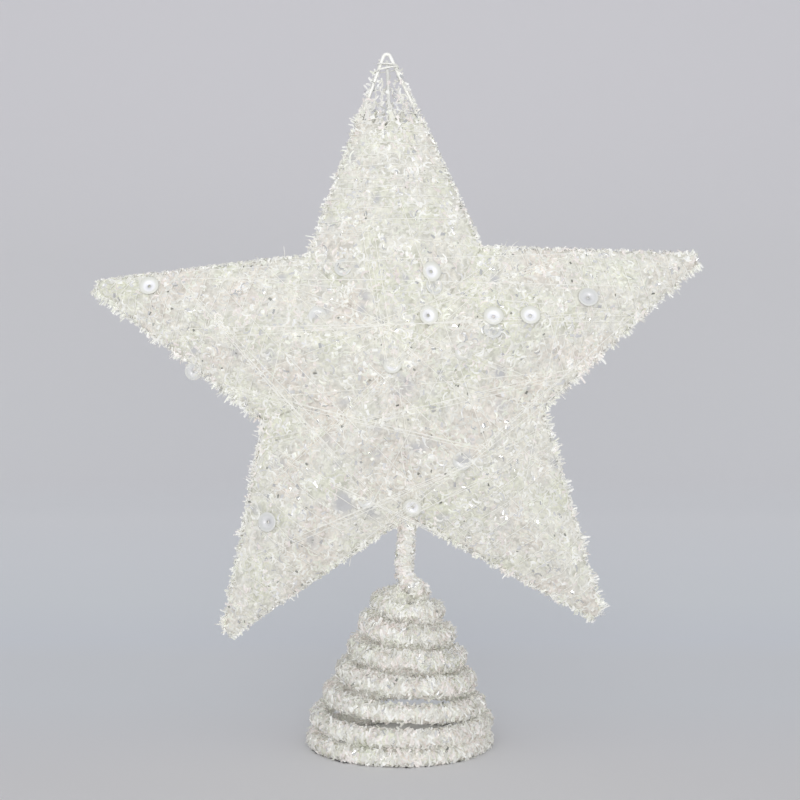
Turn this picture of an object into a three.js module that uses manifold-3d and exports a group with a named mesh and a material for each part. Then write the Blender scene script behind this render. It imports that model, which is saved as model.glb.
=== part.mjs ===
// A tinsel star for the top of a Christmas tree. A hollow star of white-lacquered wire is covered with a
// web of tinsel and wound with thread. It stands by one stem on a conical coil of wire in a tinsel sleeve,
// and the coil slips over the top shoot of the tree.
// Millimetres, +Z up. The origin is on the floor, on the axis of the coil's bottom turn. The star faces -Y,
// and +X is to the right as its front is looked at.

import * as THREE from 'three';
import { ConvexGeometry } from 'three/addons/geometries/ConvexGeometry.js';
import { mergeVertices } from 'three/addons/utils/BufferGeometryUtils.js';
import Module from 'manifold-3d';

// Star frame
const STAR_TIP_RADIUS = 128.5; // centre of the star to the outside of the wire at a tip
const STAR_NOTCH_RADIUS = 58.3; // centre of the star to the outline wire at a notch
const STAR_HALF_DEPTH = 22; // middle plane to the ridge wires where they meet
const STAR_CENTRE_X = 0.4;
const STAR_CENTRE_HEIGHT = 152;
const STAR_TURN_DEGREES = 2.6; // anticlockwise, seen from the front
const FRAME_WIRE = 1.5; // diameter
const TIP_BEND_RADIUS = 1.5; // middle of the wire
const WELD_RADIUS = 2.2;

// Tinsel web and thread
const WEB_THICKNESS = 1.2;
const WEB_RIM = 0.95; // wall outside the outline wire
const BARE_TOP_TIP = 22; // the tip of the top arm shows its wires
const BARE_TIP = 4;
const THREAD_DIAMETER = 0.8;
const THREAD_LOOPS = 11;
const THREAD_FROM_NOTCH = 8.5; // first loop to the notches, along the arm
const THREAD_FROM_WEB_END = 2.5;

// Sequins: pressed film cups with a hole
const SEQUIN_RADIUS = 4;
const SEQUIN_HOLE_RADIUS = 0.6;
const SEQUIN_FLOOR_RADIUS = 2.1;
const SEQUIN_CUP = 0.9; // rim above floor
const SEQUIN_FILM = 0.3;
// An arm as seen from that side, how far along it (0 at the star's centre, 1 level with the notches, 2 at its
// tip), and how far across it (-1 at one rim, 1 at the other, anticlockwise round the star)
const FRONT_SEQUINS = [
  ['top', 0.81, -0.49],
  ['top', 0.44, -0.77],
  ['right', 0.88, 0.22],
  ['right', 1.1, 0.06],
  ['lower_right', 0.98, -0.92],
  ['left', 1.73, -0.55],
  ['right', 1.4, 0.02],
  ['lower_left', 1.41, -0.53],
];
const REAR_SEQUINS = [
  ['top', 0.93, 0.44],
  ['right', 0.56, 0.21],
  ['left', 0.88, -0.15],
  ['lower_right', 1.47, 0.65],
  ['lower_right', 0.56, -0.42],
];

// Coil
const COIL_WIRE = 2.2; // diameter
const SLEEVE_RADIUS = 3.1;
const FLOOR_FLAT = 0.5; // depth of the flat on which the bottom turn stands
const BASE_RADIUS = 34.2; // middle of the bottom turn
const TAPER = 4.5; // loss of radius in each turn
const PITCH = 9.3; // rise in each turn
const STACK_GAP = 1; // second turn above the first, where it rests on the tinsel
const RAMP_START = 0.78; // turns from the tail at which the bottom turn starts to climb
const PITCH_EASE = 0.58; // turns over which the pitch opens
const TAPER_EASE = 0.9; // turns over which the taper begins
const CROWN_START = 6; // turns from which the coil closes more quickly
const CROWN_TAPER = 1.4;
const CROWN_FLATTEN = 0.2;
const COIL_TURNS = 7;
const SEAM_TURNS = 1.75; // the closed end turns below this stand still, and the spring works above it
const CROWN_OFFSET = 1.8; // the upper coil stands this far to the right
const OFFSET_FROM = 10; // heights between which it moves over
const OFFSET_TO = 34;
const NECK_RISE = 8.5; // last turn to the foot of the stem
const NECK_FORWARD = 2; // the foot stands this far in front of the axis
const NECK_HANDLES = [6, 4];

// Stem
const STEM_SLEEVE_RADIUS = 3;

// Fits and faceting
const CLEARANCE = 0.3;
const COIL_STEPS = 24; // in a turn
const NECK_STEPS = 8;
const SLEEVE_SIDES = 6;
const BORE_SIDES = 4;
const WIRE_SIDES = 5;
const THREAD_SIDES = 5;
const BEND_STEPS = 4;
const SEQUIN_SEGMENTS = 12;
const WELD_SIDES = 10;
const TIP_ROUNDS = 20;
const MERGE_WITHIN = 1e-4;
const MARGIN = 1; // cutters reach this far past what they cut

const wasm = await Module();
wasm.setup();

const materials = {
  lacquer: new THREE.MeshStandardMaterial({ color: 0xf1efe9, roughness: 0.35, metalness: 0.1 }),
  steel: new THREE.MeshStandardMaterial({ color: 0x8f8a80, roughness: 0.4, metalness: 0.9 }),
  web: new THREE.MeshStandardMaterial({ color: 0xe9e7df, roughness: 0.6, metalness: 0 }),
  thread: new THREE.MeshStandardMaterial({ color: 0xf6f4ee, roughness: 0.7, metalness: 0 }),
  tinsel: new THREE.MeshStandardMaterial({ color: 0xe6e4dc, roughness: 0.55, metalness: 0 }),
  film: new THREE.MeshStandardMaterial({ color: 0xdfe3e8, roughness: 0.15, metalness: 0.1 }),
};

const vector = (x, y, z) => new THREE.Vector3(x, y, z);
const { degToRad, mapLinear, smoothstep } = THREE.MathUtils;

function mesh(name, geometry, material) {
  const made = new THREE.Mesh(geometry, material);
  made.name = name;
  return made;
}

// Solids for cutting and joining

function solidOf(geometry) {
  const bare = geometry.clone().deleteAttribute('normal').deleteAttribute('uv');
  const merged = mergeVertices(bare, MERGE_WITHIN);
  return new wasm.Manifold(new wasm.Mesh({
    numProp: 3,
    vertProperties: merged.getAttribute('position').array,
    triVerts: new Uint32Array(merged.index.array),
  }));
}

function geometryOf(solid) {
  const { vertProperties, triVerts } = solid.getMesh();
  return new THREE.BufferGeometry()
    .setAttribute('position', new THREE.BufferAttribute(vertProperties, 3))
    .setIndex(new THREE.BufferAttribute(triVerts, 1));
}

// A route through points. Each point is one step of a tube along it, and the tube is mitred there. Where the
// route goes on beyond an end, the next point there mitres that end too.
class Route extends THREE.Curve {
  constructor(points, { leadIn = points[0], leadOut = points.at(-1) } = {}) {
    super();
    this.points = points;
    this.leadIn = leadIn;
    this.leadOut = leadOut;
  }

  getPoint(t, target = new THREE.Vector3()) {
    const place = t * (this.points.length - 1);
    const before = Math.min(Math.floor(place), this.points.length - 2);
    return target.lerpVectors(this.points[before], this.points[before + 1], place - before);
  }

  getPointAt(u, target) {
    return this.getPoint(u, target);
  }

  getTangent(t, target = new THREE.Vector3()) {
    const nearest = Math.round(t * (this.points.length - 1));
    const here = this.points[nearest];
    const arriving = vector(0, 0, 0).subVectors(here, this.points[nearest - 1] ?? this.leadIn).normalize();
    const leaving = vector(0, 0, 0).subVectors(this.points[nearest + 1] ?? this.leadOut, here).normalize();
    return target.addVectors(arriving, leaving).normalize();
  }

  getTangentAt(u, target) {
    return this.getTangent(u, target);
  }
}

function polygon(radius, sides) {
  return Array.from({ length: sides }, (_, i) => {
    const angle = (2 * Math.PI * i) / sides;
    return new THREE.Vector2(radius * Math.cos(angle), radius * Math.sin(angle));
  });
}

// The radius of a polygon's corners, where its flats lie this far from its middle
const cornerRadius = (flatRadius, sides) => flatRadius / Math.cos(Math.PI / sides);

// A tube along a route, with a bore if its half width is given
function tube(route, radius, sides, boreHalf = 0) {
  const shape = new THREE.Shape(polygon(radius, sides));
  if (boreHalf) shape.holes.push(new THREE.Path(polygon(cornerRadius(boreHalf, BORE_SIDES), BORE_SIDES)));
  const steps = route.points.length - 1;
  return new THREE.ExtrudeGeometry(shape, { steps, bevelEnabled: false, extrudePath: route });
}

// The least distance between a tube's surface here and its surface further along, measured on points.
function leastGap(points, radius, apart) {
  const fine = new Route(points);
  const length = points.slice(1).reduce((sum, p, i) => sum + p.distanceTo(points[i]), 0);
  const count = Math.ceil(length);
  const places = Array.from({ length: count + 1 }, (_, i) => fine.getPoint(i / count));
  let least = Infinity;
  let travelled = 0;
  const along = places.map((p, i) => (travelled += i ? p.distanceTo(places[i - 1]) : 0));
  for (let i = 0; i <= count; i++)
    for (let j = i + 1; j <= count; j++)
      if (along[j] - along[i] > apart) least = Math.min(least, places[i].distanceTo(places[j]) - 2 * radius);
  return least;
}

// Coil. Its place is a number of turns from the tail on the floor, which lies to the right, and it winds
// clockwise as it climbs, seen from above.

const oneStep = 1 / COIL_STEPS;
const groundHeight = SLEEVE_RADIUS - FLOOR_FLAT;
const stackRise = 2 * SLEEVE_RADIUS + STACK_GAP;
const crownTurns = (turns) => Math.max(turns - CROWN_START, 0);

// Turns of full slope: the slope grows steadily from nothing over the first ease turns.
function eased(turns, ease) {
  if (turns < 0) return 0;
  return turns < ease ? (turns * turns) / (2 * ease) : turns - ease / 2;
}

function coilHeight(turns) {
  if (turns <= 1) return groundHeight + stackRise * smoothstep(turns, RAMP_START, 1);
  const rising = eased(turns - 1, PITCH_EASE) - CROWN_FLATTEN * crownTurns(turns) ** 2;
  return groundHeight + stackRise + PITCH * rising;
}

function coilRadius(turns) {
  return BASE_RADIUS - TAPER * eased(turns - RAMP_START, TAPER_EASE) - CROWN_TAPER * crownTurns(turns) ** 2;
}

function coilPoint(turns) {
  const angle = -2 * Math.PI * turns;
  const height = coilHeight(turns);
  const offset = CROWN_OFFSET * smoothstep(height, OFFSET_FROM, OFFSET_TO);
  return vector(offset + coilRadius(turns) * Math.cos(angle), coilRadius(turns) * Math.sin(angle), height);
}

const stemFoot = vector(CROWN_OFFSET, -NECK_FORWARD, coilHeight(COIL_TURNS) + NECK_RISE);

// The last turn closes in a rising bend that ends upright at the foot of the stem.
function neckPoints() {
  const start = coilPoint(COIL_TURNS);
  const heading = vector(0, 0, 0).subVectors(start, coilPoint(COIL_TURNS - oneStep / 4)).normalize();
  const bend = new THREE.CubicBezierCurve3(
    start,
    start.clone().addScaledVector(heading, NECK_HANDLES[0]),
    stemFoot.clone().addScaledVector(vector(0, 0, 1), -NECK_HANDLES[1]),
    stemFoot,
  );
  return bend.getSpacedPoints(NECK_STEPS).slice(1);
}

function coilPoints(from, to) {
  const steps = Math.round((to - from) * COIL_STEPS);
  return Array.from({ length: steps + 1 }, (_, i) => coilPoint(from + ((to - from) * i) / steps));
}

// Moves one end of a route along its last stretch, so that two tubes meet face to face.
function shortened(points, atStart, distance) {
  const made = [...points];
  const [end, next] = atStart ? [0, 1] : [made.length - 1, made.length - 2];
  made[end] = made[end].clone().lerp(made[next], distance / made[end].distanceTo(made[next]));
  return made;
}

const wireBore = COIL_WIRE / 2 + CLEARANCE;
const baseEnd = { leadOut: coilPoint(SEAM_TURNS + oneStep) };
const basePoints = shortened(coilPoints(0, SEAM_TURNS), false, CLEARANCE / 2);
const wholeSpring = [...coilPoints(SEAM_TURNS, COIL_TURNS), ...neckPoints()];
const springPoints = shortened(wholeSpring, true, CLEARANCE / 2);

function standing(geometry) {
  const reach = BASE_RADIUS + SLEEVE_RADIUS + MARGIN;
  const block = new THREE.BoxGeometry(2 * reach, 2 * reach, reach).translate(0, 0, reach / 2);
  return geometryOf(solidOf(geometry).intersect(solidOf(block)));
}

function buildCoil() {
  const baseRoute = new Route(basePoints, baseEnd);
  const baseWireRoute = new Route(shortened(basePoints, true, CLEARANCE), baseEnd);
  const springEnds = { leadIn: coilPoint(SEAM_TURNS - oneStep), leadOut: stemFoot.clone().add(stemWay) };
  const springRoute = new Route(springPoints, springEnds);
  const baseSleeve = standing(tube(baseRoute, SLEEVE_RADIUS, SLEEVE_SIDES, wireBore));
  const base = new THREE.Group();
  base.add(
    mesh('base_coil_sleeve', baseSleeve, materials.tinsel),
    mesh('base_coil_wire', tube(baseWireRoute, COIL_WIRE / 2, WIRE_SIDES), materials.steel),
  );
  const spring = new THREE.Group();
  spring.add(
    mesh('spring_coil_sleeve', tube(springRoute, SLEEVE_RADIUS, SLEEVE_SIDES, wireBore), materials.tinsel),
    mesh('spring_coil_wire', tube(springRoute, COIL_WIRE / 2, WIRE_SIDES), materials.steel),
  );
  return [base, spring];
}

// Star. It is built flat, front towards +Z, and then stood up. In an arm's own frame x runs along it.

const armNames = ['top', 'left', 'lower_left', 'lower_right', 'right'];
const step = (2 * Math.PI) / armNames.length;
const armAngle = (arm) => Math.PI / 2 + step * arm;

const notch = vector(STAR_NOTCH_RADIUS * Math.cos(step / 2), STAR_NOTCH_RADIUS * Math.sin(step / 2), 0);

// The straight sides of an arm would meet at this radius, and the bend brings the wire in from there. The
// angle of the sides and the radius depend on each other, so they are found in turn.
function sideTipRadius() {
  const outside = STAR_TIP_RADIUS - FRAME_WIRE / 2;
  let radius = outside;
  for (let i = 0; i < TIP_ROUNDS; i++) {
    const half = Math.atan2(notch.y, radius - notch.x);
    radius = outside + TIP_BEND_RADIUS * (1 / Math.sin(half) - 1);
  }
  return radius;
}

const tipRadius = sideTipRadius();
const tipHalfAngle = Math.atan2(notch.y, tipRadius - notch.x);
const sideNormal = vector(Math.sin(tipHalfAngle), Math.cos(tipHalfAngle), 0);
const sideDistance = tipRadius * sideNormal.x;
const faceSlope = Math.atan2(STAR_HALF_DEPTH, sideDistance);

// Height of the face that lies this far outside the frame's own face, at x along the arm and y across it.
function faceHeight(x, y, outside) {
  const inward = sideDistance - sideNormal.x * x - sideNormal.y * Math.abs(y);
  return Math.tan(faceSlope) * inward + outside / Math.cos(faceSlope);
}

// Half width of an arm at x, where its sides are moved out by rim.
const halfWidth = (x, rim) => (sideDistance + rim - sideNormal.x * x) / sideNormal.y;

const wireRadius = FRAME_WIRE / 2;
const webInside = wireRadius + CLEARANCE;
const webOutside = webInside + WEB_THICKNESS;
const rimInside = wireRadius + CLEARANCE;
const rimOutside = rimInside + WEB_RIM;

// The space under one face of an arm, between the planes through the notches, moved out by spread.
function armSpace(outside, rim, spread, end, foot) {
  const across = vector(-Math.sin(step / 2), Math.cos(step / 2), 0).multiplyScalar(spread);
  const along = vector(Math.cos(step / 2), Math.sin(step / 2), 0);
  const reach = (sideDistance + rim - sideNormal.dot(across)) / sideNormal.dot(along);
  const corner = along.clone().multiplyScalar(reach).add(across);
  const centre = vector(-spread / Math.sin(step / 2), 0, 0);
  const outline = [centre, corner, vector(end, halfWidth(end, rim), 0), vector(end, 0, 0)];
  const points = outline.flatMap((p) => [1, -1].flatMap((side) => [
    vector(p.x, side * p.y, foot),
    vector(p.x, side * p.y, faceHeight(p.x, p.y, outside)),
  ]));
  return solidOf(new ConvexGeometry(points));
}

// One face of the web on an arm: a folded sheet whose rims turn round the outline wires.
function webPanel(bare, stemHole) {
  const end = STAR_TIP_RADIUS - bare;
  const outer = armSpace(webOutside, rimOutside, -CLEARANCE / 2, end, CLEARANCE / 2);
  const inner = armSpace(webInside, rimInside, MARGIN, end + MARGIN, -MARGIN);
  const shell = outer.subtract(inner);
  return geometryOf(stemHole ? shell.subtract(stemHole) : shell);
}

function outlineWire() {
  const apart = wireRadius / Math.tan(Math.PI / 2 - tipHalfAngle) + CLEARANCE;
  const side = vector(tipRadius, 0, 0).sub(notch).normalize();
  const foot = notch.clone().addScaledVector(side, apart);
  const bendCentre = tipRadius - TIP_BEND_RADIUS / Math.sin(tipHalfAngle);
  const reach = Math.PI / 2 - tipHalfAngle;
  const bend = Array.from({ length: BEND_STEPS + 1 }, (_, i) => {
    const angle = reach * (1 - (2 * i) / BEND_STEPS);
    return vector(bendCentre + TIP_BEND_RADIUS * Math.cos(angle), TIP_BEND_RADIUS * Math.sin(angle), 0);
  });
  return tube(new Route([foot, ...bend, vector(foot.x, -foot.y, 0)]), wireRadius, WIRE_SIDES);
}

// The weld lies this far under the place where the ridge wires' middles would meet.
const weldDrop = WELD_RADIUS - wireRadius / 2;

// A ridge wire starts where it is clear of the one on the other face, and stops at the weld.
function ridgeWire() {
  const tip = vector(tipRadius, 0, 0);
  const apex = vector(0, 0, STAR_HALF_DEPTH);
  const along = apex.clone().sub(tip).normalize();
  const start = tip.clone().addScaledVector(along, (wireRadius + CLEARANCE / 2) / along.z);
  const shortOfApex = Math.sqrt((WELD_RADIUS + CLEARANCE) ** 2 - (weldDrop - wireRadius) ** 2);
  const stop = apex.clone().addScaledVector(along, -shortOfApex);
  return tube(new Route([start, stop]), wireRadius, WIRE_SIDES);
}

// Thread over the web: one unbroken loop after another round the arm, from its notches towards its tip.
const threadRadius = THREAD_DIAMETER / 2;
const threadOutside = webOutside + CLEARANCE + threadRadius;
const threadRim = rimOutside + CLEARANCE + threadRadius;

function threadPoints(bare) {
  const from = notch.x + THREAD_FROM_NOTCH;
  const to = STAR_TIP_RADIUS - bare - THREAD_FROM_WEB_END;
  // Over the ridge, round the rim, over the ridge behind and round the other rim
  const corners = [[0, 1], [1, 1], [1, -1], [0, -1], [-1, -1], [-1, 1]];
  const count = corners.length * THREAD_LOOPS;
  return Array.from({ length: count + 1 }, (_, i) => {
    const x = from + ((to - from) * i) / count;
    const [across, face] = corners[i % corners.length];
    const y = across * halfWidth(x, threadRim);
    return vector(x, y, face * faceHeight(x, y, threadOutside));
  });
}

const sequinProfile = [
  [SEQUIN_HOLE_RADIUS, 0],
  [SEQUIN_FLOOR_RADIUS, 0],
  [SEQUIN_RADIUS, SEQUIN_CUP],
  [SEQUIN_RADIUS, SEQUIN_CUP + SEQUIN_FILM],
  [SEQUIN_FLOOR_RADIUS, SEQUIN_FILM],
  [SEQUIN_HOLE_RADIUS, SEQUIN_FILM],
  [SEQUIN_HOLE_RADIUS, 0],
];

// A sequin lies on the face at its place on an arm, over the thread where the arm is wound.
function sequin(name, [armName, along, across]) {
  const profile = sequinProfile.map(([r, h]) => new THREE.Vector2(r, h));
  const cup = new THREE.LatheGeometry(profile, SEQUIN_SEGMENTS).rotateX(Math.PI / 2);
  const x = along < 1 ? along * notch.x : mapLinear(along, 1, 2, notch.x, STAR_TIP_RADIUS);
  const y = across * Math.min(x * Math.tan(step / 2), halfWidth(x, 0));
  const wound = x + SEQUIN_RADIUS > notch.x + THREAD_FROM_NOTCH;
  const outside = wound ? threadOutside + threadRadius + CLEARANCE : webOutside + CLEARANCE;
  const facing = vector(sideNormal.x, Math.sign(y) * sideNormal.y, 0).multiplyScalar(Math.sin(faceSlope));
  facing.z = Math.cos(faceSlope);
  const made = mesh(name, cup, materials.film);
  made.position.set(x, y, faceHeight(x, y, outside));
  made.quaternion.setFromUnitVectors(vector(0, 0, 1), facing);
  const holder = new THREE.Group();
  holder.rotation.z = armAngle(armNames.indexOf(armName));
  holder.add(made);
  return holder;
}

// Stem: from the coil's neck to the bottom notch of the star
const turned = degToRad(STAR_TURN_DEGREES);
const bottomNotchAngle = armAngle(2) + step / 2 + turned;
const starCentre = vector(STAR_CENTRE_X, 0, STAR_CENTRE_HEIGHT);
const notchPlace = starCentre.clone().add(
  vector(Math.cos(bottomNotchAngle), 0, Math.sin(bottomNotchAngle)).multiplyScalar(STAR_NOTCH_RADIUS),
);
const stemWay = notchPlace.clone().sub(stemFoot).normalize();
// The arms' sides spread downwards from the notch at this angle to the square of its ray, and the stem leans
// from that ray.
const rimSpread = Math.PI / 2 - tipHalfAngle - step / 2;
const lean = stemWay.angleTo(starCentre.clone().sub(notchPlace));

// The top of a round piece of the stem that ends under the notch, clear of sides moved out by rim
function underNotch(radius, rim) {
  const drop = rim / Math.cos(rimSpread) + radius * (Math.tan(rimSpread) + Math.tan(lean)) + CLEARANCE;
  return notchPlace.clone().addScaledVector(stemWay, -drop);
}

const stemWireTop = underNotch(COIL_WIRE / 2, wireRadius);
const stemSleeveTop = underNotch(STEM_SLEEVE_RADIUS, rimOutside);

function buildStem() {
  const group = new THREE.Group();
  const foot = stemFoot.clone().addScaledVector(stemWay, CLEARANCE);
  const start = { leadIn: springPoints.at(-2) };
  const sleeveRoute = new Route([foot, stemSleeveTop], start);
  const wireRoute = new Route([foot, stemWireTop], start);
  group.add(
    mesh('stem_sleeve', tube(sleeveRoute, STEM_SLEEVE_RADIUS, SLEEVE_SIDES, wireBore), materials.tinsel),
    mesh('stem_wire', tube(wireRoute, COIL_WIRE / 2, WIRE_SIDES), materials.steel),
  );
  return group;
}

// What the stem wire needs cut from a panel, in that panel's own frame
function stemHole(panelHolder) {
  panelHolder.updateWorldMatrix(true, false);
  const way = tube(new Route([stemFoot, notchPlace]), cornerRadius(wireBore, SLEEVE_SIDES), SLEEVE_SIDES);
  return solidOf(way.applyMatrix4(panelHolder.matrixWorld.clone().invert()));
}

function buildStar() {
  const upright = new THREE.Group();
  upright.position.copy(starCentre);
  upright.rotation.x = Math.PI / 2;
  const star = new THREE.Group();
  star.rotation.z = turned;
  upright.add(star);
  for (const [arm, name] of armNames.entries()) {
    const bare = name === 'top' ? BARE_TOP_TIP : BARE_TIP;
    const nearStem = name.startsWith('lower');
    const front = new THREE.Group();
    front.rotation.z = armAngle(arm);
    star.add(front);
    const rear = new THREE.Group();
    rear.rotation.x = Math.PI;
    front.add(rear);
    for (const [side, holder] of [['front', front], ['rear', rear]])
      holder.add(
        mesh(`${side}_web_${name}`, webPanel(bare, nearStem && stemHole(holder)), materials.web),
        mesh(`${side}_ridge_wire_${name}`, ridgeWire(), materials.lacquer),
      );
    const points = threadPoints(bare);
    const gap = leastGap(points, threadRadius, 4 * THREAD_DIAMETER);
    console.log(`thread on ${name} arm: least gap ${gap.toFixed(2)} mm`);
    front.add(
      mesh(`outline_wire_${name}`, outlineWire(), materials.lacquer),
      mesh(`thread_${name}`, tube(new Route(points), threadRadius, THREAD_SIDES), materials.thread),
    );
  }
  const weldHeight = STAR_HALF_DEPTH - weldDrop;
  const weld = () => new THREE.SphereGeometry(WELD_RADIUS, WELD_SIDES, WELD_SIDES).translate(0, 0, weldHeight);
  const rearSide = new THREE.Group();
  rearSide.rotation.y = Math.PI;
  star.add(mesh('front_hub_weld', weld(), materials.lacquer), rearSide);
  rearSide.add(mesh('rear_hub_weld', weld(), materials.lacquer));
  FRONT_SEQUINS.forEach((place, i) => star.add(sequin(`front_sequin_${i + 1}`, place)));
  const rearSequins = new THREE.Group();
  rearSequins.rotation.y = Math.PI;
  star.add(rearSequins);
  REAR_SEQUINS.forEach((place, i) => rearSequins.add(sequin(`rear_sequin_${i + 1}`, place)));
  return upright;
}

const coilRoute = [...coilPoints(0, COIL_TURNS), ...neckPoints()];
console.log(`coil: least gap ${leastGap(coilRoute, SLEEVE_RADIUS, 4 * SLEEVE_RADIUS).toFixed(2)} mm`);

const topper = new THREE.Group();
topper.add(...buildCoil(), buildStem(), buildStar());

export default topper;
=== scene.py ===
"""Looks of a tinsel star for the top of a Christmas tree.

A hollow star of white-lacquered wire is covered with a matted web of white yarn and cut film, wound with
thread and scattered with cup sequins. It stands on a short stem and a conical coil in a tinsel sleeve.

Metres, +Z up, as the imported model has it. The star faces -Y.
"""

import logging
import math
from collections.abc import Sequence
from dataclasses import dataclass, field, fields
from enum import Enum, IntEnum
from functools import cached_property

import bmesh
import bpy
import numpy as np
from mathutils import Matrix, Vector


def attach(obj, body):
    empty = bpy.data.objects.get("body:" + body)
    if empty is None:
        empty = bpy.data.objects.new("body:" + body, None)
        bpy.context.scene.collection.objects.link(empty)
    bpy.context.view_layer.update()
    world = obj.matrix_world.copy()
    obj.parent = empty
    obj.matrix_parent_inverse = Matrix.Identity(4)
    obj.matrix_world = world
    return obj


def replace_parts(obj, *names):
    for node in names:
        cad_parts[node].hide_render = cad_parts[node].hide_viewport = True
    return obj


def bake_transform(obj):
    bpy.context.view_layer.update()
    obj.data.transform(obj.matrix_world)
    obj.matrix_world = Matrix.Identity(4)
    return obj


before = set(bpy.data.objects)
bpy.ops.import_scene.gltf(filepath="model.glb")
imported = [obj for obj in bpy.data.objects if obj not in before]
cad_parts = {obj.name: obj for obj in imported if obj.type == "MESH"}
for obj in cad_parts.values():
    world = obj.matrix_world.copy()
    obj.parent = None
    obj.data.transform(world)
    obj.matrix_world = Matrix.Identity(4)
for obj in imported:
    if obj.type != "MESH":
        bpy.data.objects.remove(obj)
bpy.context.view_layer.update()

log = logging.getLogger("topper")

MM = 0.001
BAKE_MAP = "OFBake"  # the name of a strip piece's own map, with a patch for each strip
SAME_PLACE = 1e-6  # corners nearer to each other than this are merged


# Colours, nodes and small geometry


def linear(code: str) -> tuple[float, float, float, float]:
    """Turns an sRGB hex colour into linear RGBA.

    Args:
        code: Six hex digits, such as "F2F1EC".

    Returns:
        Red, green, blue and an alpha of 1, as Blender's sockets take them.
    """
    parts = [int(code[i : i + 2], 16) / 255 for i in (0, 2, 4)]
    red, green, blue = (p / 12.92 if p <= 0.04045 else ((p + 0.055) / 1.055) ** 2.4 for p in parts)
    return red, green, blue, 1.0


def set_inputs(node: bpy.types.Node, inputs: dict[str | int, object]) -> None:
    """Sets or links inputs of a node.

    Args:
        node: The node.
        inputs: A socket to link from, or a value, for each input by name or number.
    """
    for name, value in inputs.items():
        if isinstance(value, bpy.types.NodeSocket):
            node.id_data.links.new(value, node.inputs[name])
        else:
            node.inputs[name].default_value = value


def add_node(
    tree: bpy.types.NodeTree,
    kind: str,
    inputs: dict[str | int, object] | None = None,
    **settings: object,
) -> bpy.types.Node:
    """Adds a node with its settings and links.

    Args:
        tree: The tree that gets the node.
        kind: The node's type name, such as "ShaderNodeTexNoise".
        inputs: A socket to link from, or a value, for each input by name or number.
        **settings: The node's own properties.

    Returns:
        The new node.
    """
    node = tree.nodes.new(kind)
    for name, value in settings.items():
        setattr(node, name, value)
    set_inputs(node, inputs or {})
    return node


def set_stops(ramp: bpy.types.Node, stops: Sequence[tuple[float, str]]) -> None:
    """Gives a colour ramp its stops.

    Args:
        ramp: A Color Ramp node.
        stops: A position from 0 to 1 and a hex colour for each stop, in order.
    """
    elements = ramp.color_ramp.elements
    while len(elements) < len(stops):
        elements.new(0.5)
    for element, (place, code) in zip(elements, stops, strict=True):
        element.position = place
        element.color = linear(code)


def new_material(name: str) -> tuple[bpy.types.Material, bpy.types.NodeTree, bpy.types.Node]:
    """Starts a material that holds an output and a Principled shader.

    Args:
        name: The material's name.

    Returns:
        The material, its tree and the shader.
    """
    material = bpy.data.materials.new(name)
    material.use_nodes = True
    tree = material.node_tree
    tree.nodes.clear()
    shader = add_node(tree, "ShaderNodeBsdfPrincipled")
    add_node(tree, "ShaderNodeOutputMaterial", {"Surface": shader.outputs["BSDF"]})
    return material, tree, shader


def unit(vectors: np.ndarray) -> np.ndarray:
    """Returns vectors of the same directions with a length of 1."""
    return vectors / np.maximum(np.linalg.norm(vectors, axis=-1, keepdims=True), 1e-12)


def ripple(points: np.ndarray, wavelength: float, seed: int, waves: int = 14) -> np.ndarray:
    """A smooth random field, as the sum of plane waves in random directions.

    Args:
        points: Places, one to a row.
        wavelength: About the distance between two crests, in metres.
        seed: The field's own seed.
        waves: How many waves it has.

    Returns:
        A value for each place, of mean 0 and a standard deviation of about 1.
    """
    rng = np.random.default_rng(seed)
    directions = unit(rng.normal(size=(waves, points.shape[1])))
    lengths = wavelength * rng.uniform(0.7, 1.5, waves)
    phases = rng.uniform(0, 2 * math.pi, waves)
    angles = points @ (directions / lengths[:, None]).T * 2 * math.pi + phases
    return np.sin(angles).sum(1) * math.sqrt(2 / waves)


def make_piece(
    name: str,
    mesh: bpy.types.Mesh,
    materials: Sequence[bpy.types.Material],
    lets_light_through: bool = False,
) -> bpy.types.Object:
    """Puts a mesh in the scene as an object at the origin.

    Args:
        name: The piece's name.
        mesh: Its mesh, in place.
        materials: Its materials, in the order of its slots.
        lets_light_through: True for film and fluff, which are too thin and clear to cast a shadow.

    Returns:
        The object.
    """
    mesh.name = name
    for material in materials:
        mesh.materials.append(material)
    piece = bpy.data.objects.new(name, mesh)
    piece.visible_shadow = not lets_light_through
    bpy.context.scene.collection.objects.link(piece)
    return piece


def smooth_mesh(bm: bmesh.types.BMesh, name: str) -> bpy.types.Mesh:
    """Turns a bmesh into a mesh with smooth shading, and frees it."""
    for face in bm.faces:
        face.smooth = True
    mesh = bpy.data.meshes.new(name)
    bm.to_mesh(mesh)
    bm.free()
    return mesh


def add_attribute(mesh: bpy.types.Mesh, name: str, values: np.ndarray) -> None:
    """Keeps a number for each point of a mesh, for its material to read."""
    attribute = mesh.attributes.new(name, "FLOAT", "POINT")
    attribute.data.foreach_set("value", values.astype(np.float32))


def dress(node: str, material: bpy.types.Material) -> None:
    """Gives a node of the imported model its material."""
    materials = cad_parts[node].data.materials
    materials.clear()
    materials.append(material)


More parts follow.
